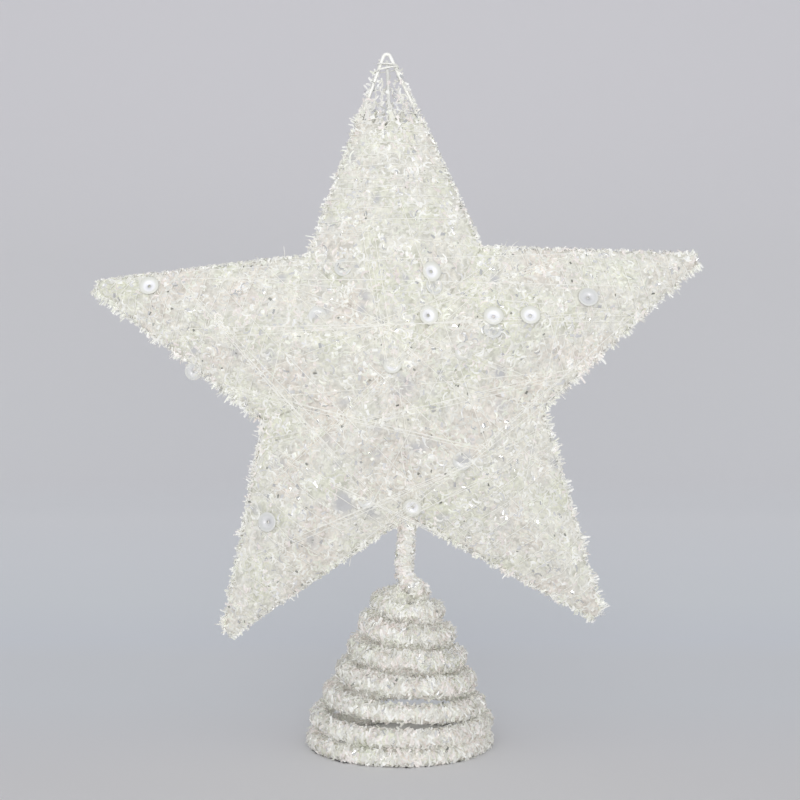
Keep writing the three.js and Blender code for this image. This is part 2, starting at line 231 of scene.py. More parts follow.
def tube_mesh(
    routes: Sequence[np.ndarray],
    radius: float,
    sides: int,
    swell: Sequence[np.ndarray] | None = None,
) -> bpy.types.Mesh:
    """A closed round tube along each route.

    Args:
        routes: The points of each tube's middle, one to a row.
        radius: The tubes' radius.
        sides: How many sides they have, an even number.
        swell: For each route, a factor on the radius at each point.

    Returns:
        One mesh with all the tubes.
    """
    curve = bpy.data.curves.new("route", "CURVE")
    curve.dimensions = "3D"
    curve.bevel_depth = radius
    curve.bevel_resolution = sides // 2 - 2
    curve.use_fill_caps = True
    for number, points in enumerate(routes):
        spline = curve.splines.new("POLY")
        spline.points.add(len(points) - 1)
        spline.points.foreach_set("co", np.c_[points, np.ones(len(points))].ravel())
        if swell:
            spline.points.foreach_set("radius", np.asarray(swell[number], float))
    holder = bpy.data.objects.new("route", curve)
    bpy.context.scene.collection.objects.link(holder)
    made = holder.evaluated_get(bpy.context.evaluated_depsgraph_get())
    mesh = bpy.data.meshes.new_from_object(made)
    bpy.data.objects.remove(holder)
    bpy.data.curves.remove(curve)
    bm = bmesh.new()
    bm.from_mesh(mesh)
    bmesh.ops.remove_doubles(bm, verts=bm.verts, dist=SAME_PLACE)
    bmesh.ops.recalc_face_normals(bm, faces=bm.faces)
    for face in bm.faces:
        face.smooth = len(face.verts) == 4
    bm.to_mesh(mesh)
    bm.free()
    return mesh


def resampled(points: np.ndarray, spacing: float) -> np.ndarray:
    """A route through the same points in even steps.

    Args:
        points: The route's points, one to a row.
        spacing: About the length of a step, in metres.

    Returns:
        The new points, ends included.
    """
    along = np.r_[0, np.cumsum(np.linalg.norm(np.diff(points, axis=0), axis=1))]
    wanted = np.linspace(0, along[-1], max(2, round(along[-1] / spacing) + 1))
    return np.stack([np.interp(wanted, along, points[:, i]) for i in range(3)], 1)


# Finishes


class Cut(IntEnum):
    """The films that the strips are cut from, in the order of a tinsel piece's slots."""

    WHITE = 0
    GREEN_PEARL = 1
    PINK_PEARL = 2
    CLEAR = 3
    SILVER = 4
    DARK = 5


@dataclass(frozen=True)
class Film:
    """Slit polyester film, cut in short strips. Each strip has its own shade, kept as an attribute."""

    name: str
    dark: str
    light: str
    bright: str  # painted highlight: the palest few strips, chosen by chance, as if they lay flat to the light
    roughness: float
    metallic: float = 0.0
    specular: float = 0.5
    ior: float = 1.6  # polyester's
    crease: float = 0.8 * MM  # a strip is creased about this often, which breaks up its gloss
    crease_gloss: float = 0.4  # how much the creases change the roughness, as a share of it

    def material(self) -> bpy.types.Material:
        """Builds the material: the strip's own shade between two ends, a painted highlight for the palest
        few, and a gloss broken up by creases.
        """
        material, tree, shader = new_material(self.name)
        shade = add_node(tree, "ShaderNodeAttribute", attribute_name="shade")
        ramp = add_node(tree, "ShaderNodeValToRGB", {"Fac": shade.outputs["Fac"]})
        # the last stop is a painted highlight: the palest few strips are painted as if they caught the light
        set_stops(ramp, [(0.0, self.dark), (0.84, self.light), (0.92, self.bright)])
        place = add_node(tree, "ShaderNodeTexCoord").outputs["Object"]
        crease = {"Vector": place, "Scale": 1 / self.crease, "Detail": 1.0}
        creases = add_node(tree, "ShaderNodeTexNoise", crease)
        gloss = add_node(
            tree,
            "ShaderNodeMapRange",
            {
                "Value": creases.outputs["Fac"],
                "To Min": self.roughness * (1 - self.crease_gloss),
                "To Max": self.roughness * (1 + self.crease_gloss),
            },
        )
        look = {
            "Base Color": ramp.outputs["Color"],
            "Roughness": gloss.outputs["Result"],
            "Metallic": self.metallic,
            "Specular IOR Level": self.specular,
            "IOR": self.ior,
        }
        set_inputs(shader, look)
        return material


# White and pearl film scatter light in their pigment, and silvered film mirrors the room. Clear film is
# painted grey for the shade seen through it, and the few dark ones are clear strips on edge with a painted
# dark reflection.
FILMS = {
    Cut.WHITE: Film("white polyester film", "DAD9D3", "EAE9E4", "F4F4F1", 0.45),
    Cut.GREEN_PEARL: Film("green pearl film", "DDDFD4", "E8E9DE", "F3F4EB", 0.35, specular=0.6),
    Cut.PINK_PEARL: Film("pink pearl film", "E4DCD9", "EDE7E3", "F6F1EE", 0.35, specular=0.6),
    Cut.CLEAR: Film("clear polyester film", "CBCBCC", "DFDFE0", "EFEFF0", 0.2, specular=0.7),
    Cut.SILVER: Film("silvered film", "F0F0EE", "F8F8F7", "FDFDFC", 0.16, metallic=1.0, ior=1.5),
    Cut.DARK: Film("painted dark reflection film", "74756F", "9C9D97", "B0B1AC", 0.25),
}


@dataclass(frozen=True)
class YarnMat:
    """Brushed acrylic yarn matted over the wires. It is matt and creamy, and thin places are painted grey
    for the shade seen through them.
    """

    name: str = "matted acrylic yarn"
    fibre: float = 1.7 * MM  # yarn is 0.2 mm thick, drawn as coarse as the render shows it
    tuft: float = 3.5 * MM
    tint: float = 22 * MM
    thin: str = "C5C5C7"  # painted shade: grey where only clear film covers the hollow star, for its shaded inside seen through

    def material(self) -> bpy.types.Material:
        """Builds the material: fibres and tufts in creamy greys, broad faint tints, and the thin places
        painted grey as shade.
        """
        material, tree, shader = new_material(self.name)
        place = add_node(tree, "ShaderNodeTexCoord").outputs["Object"]
        patterns = []
        for size, detail, wander in ((self.fibre, 3.0, 0.6), (self.tuft, 2.0, 0.0), (self.tint, 1.0, 0.0)):
            pattern = {"Vector": place, "Scale": 1 / size, "Detail": detail, "Distortion": wander}
            patterns.append(add_node(tree, "ShaderNodeTexNoise", pattern).outputs["Fac"])
        fibres, tufts, tints = patterns
        mixed = add_node(tree, "ShaderNodeMath", {0: fibres, 1: tufts}, operation="ADD")
        halved = add_node(tree, "ShaderNodeMath", {0: mixed.outputs[0], 1: 0.5}, operation="MULTIPLY")
        yarn = add_node(tree, "ShaderNodeValToRGB", {"Fac": halved.outputs[0]})
        set_stops(yarn, [(0.36, "CAC9C3"), (0.46, "D9D8D2"), (0.55, "E6E5DF"), (0.66, "F2F1EB")])
        tint = add_node(tree, "ShaderNodeValToRGB", {"Fac": tints})
        set_stops(tint, [(0.36, "F6F8EB"), (0.5, "FDFCF9"), (0.64, "FBF4F1")])
        tinted = add_node(
            tree,
            "ShaderNodeMix",
            {"Factor": 0.75, 6: yarn.outputs["Color"], 7: tint.outputs["Color"]},
            data_type="RGBA",
            blend_type="MULTIPLY",
        )
        # thin places are painted grey, for the shaded hollow seen through the clear film
        thin = add_node(tree, "ShaderNodeAttribute", attribute_name="thin")
        clear = add_node(
            tree,
            "ShaderNodeMix",
            {"Factor": thin.outputs["Fac"], 6: tinted.outputs[2], 7: linear(self.thin)},
            data_type="RGBA",
        )
        relief = add_node(tree, "ShaderNodeBump", {"Height": fibres, "Strength": 0.15, "Distance": 0.3 * MM})
        look = {
            "Base Color": clear.outputs[2],
            "Normal": relief.outputs["Normal"],
            "Roughness": 0.85,
            "Specular IOR Level": 0.25,
            "Sheen Weight": 0.3,
            "Sheen Roughness": 0.5,
        }
        set_inputs(shader, look)
        return material


@dataclass(frozen=True)
class Thread:
    """Spun polyester thread in two plies. It is bright white with a soft sheen."""

    name: str = "two-ply polyester thread"
    ply: float = 0.7 * MM  # a ply turns once in this length
    bands: float = 6.0  # makes a band two to four turns long, so that it shows in the render

    def material(self) -> bpy.types.Material:
        """Builds the material: plies as soft bands, with fine fluff between them."""
        material, tree, shader = new_material(self.name)
        place = add_node(tree, "ShaderNodeTexCoord").outputs["Object"]
        wave = {"Vector": place, "Scale": 1 / (self.bands * self.ply), "Distortion": 2.0, "Detail": 1.0}
        plies = add_node(tree, "ShaderNodeTexWave", wave, bands_direction="DIAGONAL").outputs["Fac"]
        colour = add_node(tree, "ShaderNodeValToRGB", {"Fac": plies})
        set_stops(colour, [(0.0, "EDECE5"), (1.0, "F7F6F2")])
        relief = add_node(tree, "ShaderNodeBump", {"Height": plies, "Strength": 0.4, "Distance": 0.05 * MM})
        look = {
            "Base Color": colour.outputs["Color"],
            "Normal": relief.outputs["Normal"],
            "Roughness": 0.5,
            "Sheen Weight": 0.2,
        }
        set_inputs(shader, look)
        return material


@dataclass(frozen=True)
class Lacquer:
    """White stoving lacquer on drawn wire. It is smooth and satin, a little uneven where it was dipped."""

    name: str = "white lacquered wire"
    run: float = 2.5 * MM  # the lacquer thickens and thins over about this length

    def material(self) -> bpy.types.Material:
        """Builds the material: one white, with faint runs in colour, gloss and relief."""
        material, tree, shader = new_material(self.name)
        place = add_node(tree, "ShaderNodeTexCoord").outputs["Object"]
        run = {"Vector": place, "Scale": 1 / self.run, "Detail": 2.0}
        runs = add_node(tree, "ShaderNodeTexNoise", run).outputs["Fac"]
        colour = add_node(tree, "ShaderNodeValToRGB", {"Fac": runs})
        set_stops(colour, [(0.3, "EFEEE8"), (0.7, "FBFBF8")])
        gloss = add_node(tree, "ShaderNodeMapRange", {"Value": runs, "To Min": 0.28, "To Max": 0.45})
        relief = add_node(tree, "ShaderNodeBump", {"Height": runs, "Strength": 0.3, "Distance": 0.08 * MM})
        look = {
            "Base Color": colour.outputs["Color"],
            "Roughness": gloss.outputs["Result"],
            "Normal": relief.outputs["Normal"],
        }
        set_inputs(shader, look)
        return material


@dataclass(frozen=True)
class DrawnSteel:
    """Bare drawn steel wire. It is grey with fine marks of the drawing die along it."""

    name: str = "drawn steel wire"
    mark: float = 0.5 * MM

    def material(self) -> bpy.types.Material:
        """Builds the material: grey metal with a blotched oxide skin."""
        material, tree, shader = new_material(self.name)
        place = add_node(tree, "ShaderNodeTexCoord").outputs["Object"]
        mark = {"Vector": place, "Scale": 1 / self.mark, "Detail": 3.0}
        marks = add_node(tree, "ShaderNodeTexNoise", mark).outputs["Fac"]
        colour = add_node(tree, "ShaderNodeValToRGB", {"Fac": marks})
        set_stops(colour, [(0.3, "8C8983"), (0.7, "B4B1AB")])
        gloss = add_node(tree, "ShaderNodeMapRange", {"Value": marks, "To Min": 0.3, "To Max": 0.5})
        look = {
            "Base Color": colour.outputs["Color"],
            "Roughness": gloss.outputs["Result"],
            "Metallic": 1.0,
        }
        set_inputs(shader, look)
        return material


@dataclass(frozen=True)
class SequinFilm:
    """Pressed film cup. White ones are pearl and glossy, and clear ones are painted grey for the shade
    behind them. Grey round the hole is painted shade, the walls are painted in the web's tone as if seen
    through, and on clear cups the lighter rim is a painted highlight.
    """

    name: str
    hole_edge: str
    middle: str
    wall: str
    rim: str
    roughness: float
    dimple: float = 2 * MM  # the floor of a cup has dimples of about this size

    def material(self) -> bpy.types.Material:
        """Builds the material: a tone that changes from the hole to the rim, with painted shade and
        highlight in it, under a clear gloss.
        """
        material, tree, shader = new_material(self.name)
        out = add_node(tree, "ShaderNodeAttribute", attribute_name="outward")
        ramp = add_node(tree, "ShaderNodeValToRGB", {"Fac": out.outputs["Fac"]})
        # painted: shade round the hole, the web's tone seen through the wall, and on clear cups a highlight
        # on the rim
        rings = [
            (0.15, self.hole_edge),
            (0.24, self.middle),
            (0.5, self.middle),
            (0.72, self.wall),
            (1.0, self.rim),
        ]
        set_stops(ramp, rings)
        place = add_node(tree, "ShaderNodeTexCoord").outputs["Object"]
        dimple = {"Vector": place, "Scale": 1 / self.dimple, "Detail": 1.0}
        dimples = add_node(tree, "ShaderNodeTexNoise", dimple).outputs["Fac"]
        relief = add_node(tree, "ShaderNodeBump", {"Height": dimples, "Strength": 0.2, "Distance": 0.1 * MM})
        look = {
            "Base Color": ramp.outputs["Color"],
            "Normal": relief.outputs["Normal"],
            "Roughness": self.roughness,
            "Coat Weight": 0.4,
            "Coat Roughness": 0.12,
        }
        set_inputs(shader, look)
        return material


# Tinsel


@dataclass(frozen=True)
class StripShape:
    """One strip of cut film, 1 long and 1 wide, made once and repeated at every place."""

    cuts: int = 0  # how many rings it has between its ends
    flatness: float = 0.06  # its thickness beside its width, far more than film has so that it stays closed
    taper: float = 0.8  # width of the far end
    twist_degrees: float = 40.0
    curl: float = 0.0  # how far its middle is bent off the straight line, beside its length
    slimness: float = 0.13  # about its width beside its length, once it is scaled
    corner: float = 0.58  # how far the bar's three corners lie from its middle, for a width of 1

    def corners_and_faces(self) -> tuple[np.ndarray, np.ndarray]:
        """Models the strip: a flattened three-sided bar, twisted and curled.

        Returns:
            The corners, from 0 to 1 along x, and three corner numbers for each face.
        """
        bm = bmesh.new()
        far = self.corner * self.taper
        bmesh.ops.create_cone(bm, cap_ends=True, segments=3, radius1=self.corner, radius2=far, depth=1)
        if self.cuts:
            long_edges = [e for e in bm.edges if abs(e.verts[0].co.z - e.verts[1].co.z) > 0.5]
            bmesh.ops.subdivide_edges(bm, edges=long_edges, cuts=self.cuts, use_grid_fill=True)
        for vertex in bm.verts:
            along = vertex.co.z + 0.5
            turn = Matrix.Rotation(math.radians(self.twist_degrees) * (along - 0.5), 3, "X")
            across = turn @ Vector((0, vertex.co.x, vertex.co.y * self.flatness))
            bend = self.curl * 4 * along * (1 - along)
            vertex.co = (along, across.y + bend / self.slimness, across.z)
        bmesh.ops.triangulate(bm, faces=bm.faces)
        bmesh.ops.recalc_face_normals(bm, faces=bm.faces)
        bm.verts.index_update()
        corners = np.array([v.co for v in bm.verts])
        faces = np.array([[v.index for v in f.verts] for f in bm.faces])
        bm.free()
        return corners, faces


# How strongly the strips' shade drifts, over what length, and the drift's seed
DRIFTS = ((0.16, 4.5 * MM, 21), (0.12, 9 * MM, 22))
MAP_MARGIN = 0.2  # how much of its patch on the map a strip leaves free on each side
TINT_DRIFT = 0.7  # how strongly green and pink film gather in patches of their own


@dataclass
class Strips:
    """Many strips at their places. Each array has a row for each strip."""

    root: np.ndarray
    along: np.ndarray
    flat: np.ndarray  # the strip's own normal, square to along
    length: np.ndarray
    width: np.ndarray
    film: np.ndarray
    shade: np.ndarray

    @staticmethod
    def laid(
        rng: np.random.Generator,
        places: np.ndarray,
        normals: np.ndarray,
        lift_degrees: np.ndarray,
        length: np.ndarray,
        width: np.ndarray,
        film: np.ndarray,
        heading: np.ndarray | None = None,
        roll_degrees: float = 30.0,
        pale: float = 0.0,
    ) -> "Strips":
        """Lays strips on a surface, each at its own angle to it.

        Args:
            rng: The source of chance.
            places: Where each strip's middle would lie.
            normals: The surface's normal there.
            lift_degrees: How far each strip stands off the surface.
            length: Each strip's length.
            width: Each strip's width.
            film: The film of each, as a Cut.
            heading: A direction along the surface for each, or chance where it isn't given.
            roll_degrees: How much a strip is rolled about its length, as a standard deviation.
            pale: How much lighter the strips are than their film's usual shades.

        Returns:
            The strips.
        """
        count = len(places)
        loose = rng.normal(size=(count, 3)) if heading is None else heading
        level = unit(loose - (loose * normals).sum(1, keepdims=True) * normals)
        lift = np.radians(lift_degrees)[:, None]
        along = unit(level * np.cos(lift) + normals * np.sin(lift))
        face = unit(normals * np.cos(lift) - level * np.sin(lift))
        side = np.cross(along, face)
        roll = rng.normal(0, math.radians(roll_degrees), count)[:, None]
        flat = face * np.cos(roll) + side * np.sin(roll)
        root = places - along * (length * np.cos(lift[:, 0]) ** 2 / 2)[:, None]
        drift = sum(strength * ripple(places, wave, seed) for strength, wave, seed in DRIFTS)
        shade = np.clip(pale + drift + rng.uniform(0, 1, count), 0, 1)
        return Strips(root, along, flat, length, width, film, shade)

    def picked(self, keep: np.ndarray) -> "Strips":
        """Returns only the strips for which keep is true."""
        return Strips(*(getattr(self, part.name)[keep] for part in fields(self)))

    def placed(self, corners: np.ndarray) -> np.ndarray:
        """Puts a strip's corners at every place, in one array with a row for each corner."""
        side = np.cross(self.flat, self.along)
        scaled = corners[None] * np.stack([self.length, self.width, self.width], 1)[:, None]
        placed = (
            self.root[:, None]
            + scaled[:, :, 0:1] * self.along[:, None]
            + scaled[:, :, 1:2] * side[:, None]
            + scaled[:, :, 2:3] * self.flat[:, None]
        )
        return placed.reshape(-1, 3)


def strip_mesh(lots: Sequence[tuple[Strips, StripShape]], floor: float | None = None) -> bpy.types.Mesh:
    """Makes one mesh of several lots of strips.

    Args:
        lots: Strips, and the shape that is repeated at their places.
        floor: A height under which nothing reaches.

    Returns:
        The mesh, with a slot for each film, each strip's shade and a patch of its own on the map.
    """
    columns = math.ceil(math.sqrt(sum(len(strips.root) for strips, _ in lots)))
    points, loops, films, shades, maps = [], [], [], [], []
    corner_count, strip_count = 0, 0
    for strips, shape in lots:
        corners, faces = shape.corners_and_faces()
        count, each = len(strips.root), len(corners)
        number = np.arange(count)
        points.append(strips.placed(corners))
        corner_loops = (faces[None] + (number * each)[:, None, None]).reshape(-1)
        loops.append(corner_loops + corner_count)
        films.append(np.repeat(strips.film, len(faces)))
        shades.append(np.repeat(strips.shade, each))
        place = number + strip_count
        cell = np.stack([place % columns, place // columns], 1)
        spot = np.stack([np.arange(each) % 3 / 2, np.arange(each) // 3 / max(1, (each - 1) // 3)], 1)
        patch = cell[:, None] + MAP_MARGIN + (1 - 2 * MAP_MARGIN) * spot[None]
        maps.append((patch.reshape(-1, 2) / columns)[corner_loops])
        corner_count += count * each
        strip_count += count
    placed = np.concatenate(points)
    if floor is not None:
        placed[:, 2] = np.maximum(placed[:, 2], floor)
    corner = np.concatenate(loops)
    mesh = bpy.data.meshes.new("strips")
    mesh.vertices.add(corner_count)
    mesh.vertices.foreach_set("co", placed.astype(np.float32).ravel())
    mesh.loops.add(len(corner))
    mesh.loops.foreach_set("vertex_index", corner.astype(np.int32))
    mesh.polygons.add(len(corner) // 3)
    mesh.polygons.foreach_set("loop_start", np.arange(0, len(corner), 3, dtype=np.int32))
    mesh.polygons.foreach_set("material_index", np.concatenate(films).astype(np.int32))
    mesh.polygons.foreach_set("use_smooth", np.zeros(len(corner) // 3, bool))
    mesh.update(calc_edges=True)
    add_attribute(mesh, "shade", np.concatenate(shades))
    layer = mesh.uv_layers.new(name=BAKE_MAP)
    layer.uv.foreach_set("vector", np.concatenate(maps).astype(np.float32).ravel())
    return mesh


def chosen_films(
    rng: np.random.Generator,
    shares: dict[Cut, float],
    places: np.ndarray,
    patch: float = 30 * MM,
    seed: int = 77,
) -> np.ndarray:
    """Chooses a film for each strip, with more green in some patches and more pink in others.

    Args:
        rng: The source of chance.
        shares: How much of each film there is.
        places: Where the strips lie.
        patch: About how far one patch is from the next.
        seed: The seed of the patches.

    Returns:
        A Cut for each strip.
    """
    tint = ripple(places, patch, seed)
    weights = np.array([shares.get(cut, 0.0) for cut in Cut])[None].repeat(len(tint), 0)
    weights[:, Cut.GREEN_PEARL] *= np.exp(-TINT_DRIFT * tint)
    weights[:, Cut.PINK_PEARL] *= np.exp(TINT_DRIFT * tint)
    sums = np.cumsum(weights, 1)
    sums /= sums[:, -1:]
    return (rng.uniform(0, 1, len(sums))[:, None] > sums).sum(1).clip(0, len(Cut) - 1)


# Star


class Side(Enum):
    """A side of the star, and the sign of its height over the middle plane."""

    FRONT = 1
    REAR = -1

    @property
    def word(self) -> str:
        """The side's name as it stands in the names of nodes."""
        return self.name.lower()


ARMS = ("top", "left", "lower_left", "lower_right", "right")
STEP = 2 * math.pi / len(ARMS)


@dataclass(frozen=True)
class StarShape:
    """The star's planes and wires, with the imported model's own sizes.

    In an arm's own frame x runs along the arm from the star's centre, y across it, and z out of the star's
    front.
    """

    centre: tuple[float, float, float] = (0.4 * MM, 0.0, 152 * MM)
    turn_degrees: float = 2.6
    tip_radius: float = 128.5 * MM
    notch_radius: float = 58.3 * MM
    half_depth: float = 22 * MM
    wire: float = 1.5 * MM
    tip_bend: float = 1.5 * MM
    weld_radius: float = 2.2 * MM
    clearance: float = 0.3 * MM

    @cached_property
    def notch(self) -> tuple[float, float]:
        """The notch beside an arm, in the arm's frame."""
        return self.notch_radius * math.cos(STEP / 2), self.notch_radius * math.sin(STEP / 2)

    @cached_property
    def straight_tip(self) -> float:
        """The radius at which the straight sides of an arm would meet."""
        outside = self.tip_radius - self.wire / 2
        radius = outside
        for _ in range(20):  # far more rounds than it takes to settle
            half = math.atan2(self.notch[1], radius - self.notch[0])
            radius = outside + self.tip_bend * (1 / math.sin(half) - 1)
        return radius

    @cached_property
    def tip_half_angle(self) -> float:
        """Half the angle between the sides of an arm."""
        return math.atan2(self.notch[1], self.straight_tip - self.notch[0])

    @cached_property
    def side_normal(self) -> tuple[float, float]:
        """The outward normal of an arm's side, in the star's plane."""
        return math.sin(self.tip_half_angle), math.cos(self.tip_half_angle)

    @cached_property
    def side_distance(self) -> float:
        """The distance of an arm's side from the star's centre."""
        return self.straight_tip * self.side_normal[0]

    @cached_property
    def slope(self) -> float:
        """The angle between a face and the star's plane."""
        return math.atan2(self.half_depth, self.side_distance)

    def to_sides(self, x: np.ndarray, rim: float) -> np.ndarray:
        """How far an arm's sides lie from its middle line at x, moved out by rim."""
        return (self.side_distance + rim - self.side_normal[0] * x) / self.side_normal[1]

    def half_width(self, x: np.ndarray, rim: float = 0.0) -> np.ndarray:
        """Half the width of an arm at x, as to_sides gives it, within the planes through the notches."""
        return np.maximum(np.minimum(self.to_sides(x, rim), x * math.tan(STEP / 2)), 0)

    def to_side(self, x: np.ndarray, y: np.ndarray) -> np.ndarray:
        """Distance of places in an arm from the middle of its outline wire, in the star's plane."""
        return self.side_distance - self.side_normal[0] * x - self.side_normal[1] * np.abs(y)

    def height(self, x: np.ndarray, y: np.ndarray, outside: float) -> np.ndarray:
        """Height of the face that lies this far outside the frame's own face."""
        return math.tan(self.slope) * self.to_side(x, y) + outside / math.cos(self.slope)

    def face_normal(self, y: np.ndarray) -> np.ndarray:
        """The outward normal of a front face at y, in the arm's frame."""
        flat = np.full_like(y, self.side_normal[0])
        across = np.sign(y) * self.side_normal[1]
        up = np.full_like(y, math.cos(self.slope))
        return np.stack([flat * math.sin(self.slope), across * math.sin(self.slope), up], 1)

    def turned(self, vectors: np.ndarray, arm: int, side: Side = Side.FRONT) -> np.ndarray:
        """Turns directions from an arm's frame to the topper's.

        Args:
            vectors: Directions, one to a row.
            arm: The arm's number in ARMS.
            side: The side of the star. The rear is the front turned about the arm.

        Returns:
            The directions in the topper's frame.
        """
        x, y, z = vectors.T * np.array([[1], [side.value], [side.value]])
        angle = math.pi / 2 + STEP * arm + math.radians(self.turn_degrees)
        right = x * math.cos(angle) - y * math.sin(angle)
        up = x * math.sin(angle) + y * math.cos(angle)
        return np.stack([right, -z, up], 1)

    def placed(self, points: np.ndarray, arm: int, side: Side = Side.FRONT) -> np.ndarray:
        """Moves points from an arm's frame to the topper's, as turned does with directions."""
        return self.turned(points, arm, side) + np.array(self.centre)

    def in_arm(self, right: np.ndarray, up: np.ndarray) -> tuple[np.ndarray, np.ndarray, np.ndarray]:
        """Finds the arm of places on the star's plane.

        Args:
            right: Distance to the right of the star's centre, seen from the front.
            up: Distance above it.

        Returns:
            For each place the arm's number, and its x and y in that arm's frame.
        """
        angle = np.arctan2(up, right) - math.pi / 2 - math.radians(self.turn_degrees)
        arm = np.round(angle / STEP)
        rest = angle - arm * STEP
        radius = np.hypot(right, up)
        return arm.astype(int) % len(ARMS), radius * np.cos(rest), radius * np.sin(rest)


@dataclass(frozen=True)
class ThinPlace:
    """A place where the web is thin and only clear film covers it, in metres from the star's centre. It has
    fewer strips, and its yarn is painted grey for the shade seen through it.
    """

    right: float
    up: float
    radius: float
    side: Side = Side.FRONT
    depth: float = 1.0  # 1 where nothing but clear film covers it


# The thin places that stand out from the front: right of and above the star's centre, and radius, in mm
CLEAR_THIN_PLACES = (
    (-10.0, 68.0, 1.9),
    (2.0, 36.3, 2.3),
    (12.8, 33.1, 2.0),
    (37.8, 36.3, 2.2),
    (-8.3, 19.3, 2.2),
    (36.2, 15.3, 2.1),
    (-83.3, 7.9, 2.1),
    (-48.4, 36.3, 2.5),
    (-48.8, -38.0, 2.2),
    (-54.5, -50.6, 2.0),
    (-22.5, -53.2, 5.6),
    (24.3, -36.2, 3.6),
    (-33.2, 21.1, 2.2),
    (-15.6, 23.9, 2.4),
    (39.6, -1.7, 3.0),
)
THIN_PLACES_SEED = 9
THIN_PLACES_BY_CHANCE = {Side.FRONT: 46, Side.REAR: 60}


def thin_places() -> list[ThinPlace]:
    """Lists the thin places of the web: those that stand out from the front, and others by chance."""
    made = [ThinPlace(right * MM, up * MM, radius * MM) for right, up, radius in CLEAR_THIN_PLACES]
    rng = np.random.default_rng(THIN_PLACES_SEED)
    for side, count in THIN_PLACES_BY_CHANCE.items():
        for _ in range(count):
            out = rng.uniform(5, 100) * MM
            angle = rng.uniform(0, 2 * math.pi)
            radius = rng.uniform(1.4, 4.3) * MM
            depth = rng.uniform(0.4, 0.9)
            made.append(ThinPlace(out * math.cos(angle), out * math.sin(angle), radius, side, depth))
    return made


@dataclass
class StarWires:
    """The star's frame: outline wires bent round the tips, ridge wires and hub welds."""

    shape: StarShape
    lacquer: bpy.types.Material
    sides: int = 12
    bend_steps: int = 10

    def outline(self, arm: int) -> bpy.types.Object:
        """Bends the outline wire of an arm.

        Args:
            arm: The arm's number in ARMS.

        Returns:
            The wire, which stands for the node of the same name.
        """
        star = self.shape
        notch = np.array([*star.notch, 0.0])
        half = star.tip_half_angle
        way = unit(np.array([star.straight_tip, 0, 0]) - notch)
        foot = notch + way * (star.wire / 2 * math.tan(half) + star.clearance)
        middle = star.straight_tip - star.tip_bend / math.sin(half)
        reach = math.pi / 2 - half
        angles = np.linspace(reach, -reach, self.bend_steps + 1)
        round_tip = star.tip_bend * np.stack([np.cos(angles), np.sin(angles), 0 * angles], 1)
        points = np.vstack([foot, round_tip + [middle, 0, 0], foot * [1, -1, 1]])
        return self.wire(f"outline_wire_{ARMS[arm]}", star.placed(points, arm))

    def ridge(self, arm: int, side: Side) -> bpy.types.Object:
        """Makes the ridge wire of an arm on one side, which stands for the node of the same name."""
        star = self.shape
        tip = np.array([star.straight_tip, 0, 0])
        apex = np.array([0, 0, star.half_depth])
        way = unit(apex - tip)
        start = tip + way * (star.wire / 2 + star.clearance / 2) / way[2]
        drop = star.weld_radius - star.wire / 4
        short = math.sqrt((star.weld_radius + star.clearance) ** 2 - (drop - star.wire / 2) ** 2)
        points = np.vstack([start, apex - way * short])
        return self.wire(f"{side.word}_ridge_wire_{ARMS[arm]}", star.placed(points, arm, side))

    def wire(self, node: str, route: np.ndarray) -> bpy.types.Object:
        """Draws a lacquered wire along a route, in place of the node of this name."""
        mesh = tube_mesh([route], self.shape.wire / 2, self.sides)
        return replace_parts(make_piece(f"lacquered_{node}", mesh, [self.lacquer]), node)

    def build(self) -> list[bpy.types.Object]:
        """Makes every wire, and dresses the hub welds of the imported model."""
        made = [self.outline(arm) for arm in range(len(ARMS))]
        made += [self.ridge(arm, side) for side in Side for arm in range(len(ARMS))]
        for piece in made:
            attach(piece, "star")
        for side in Side:
            dress(f"{side.word}_hub_weld", self.lacquer)
        return made


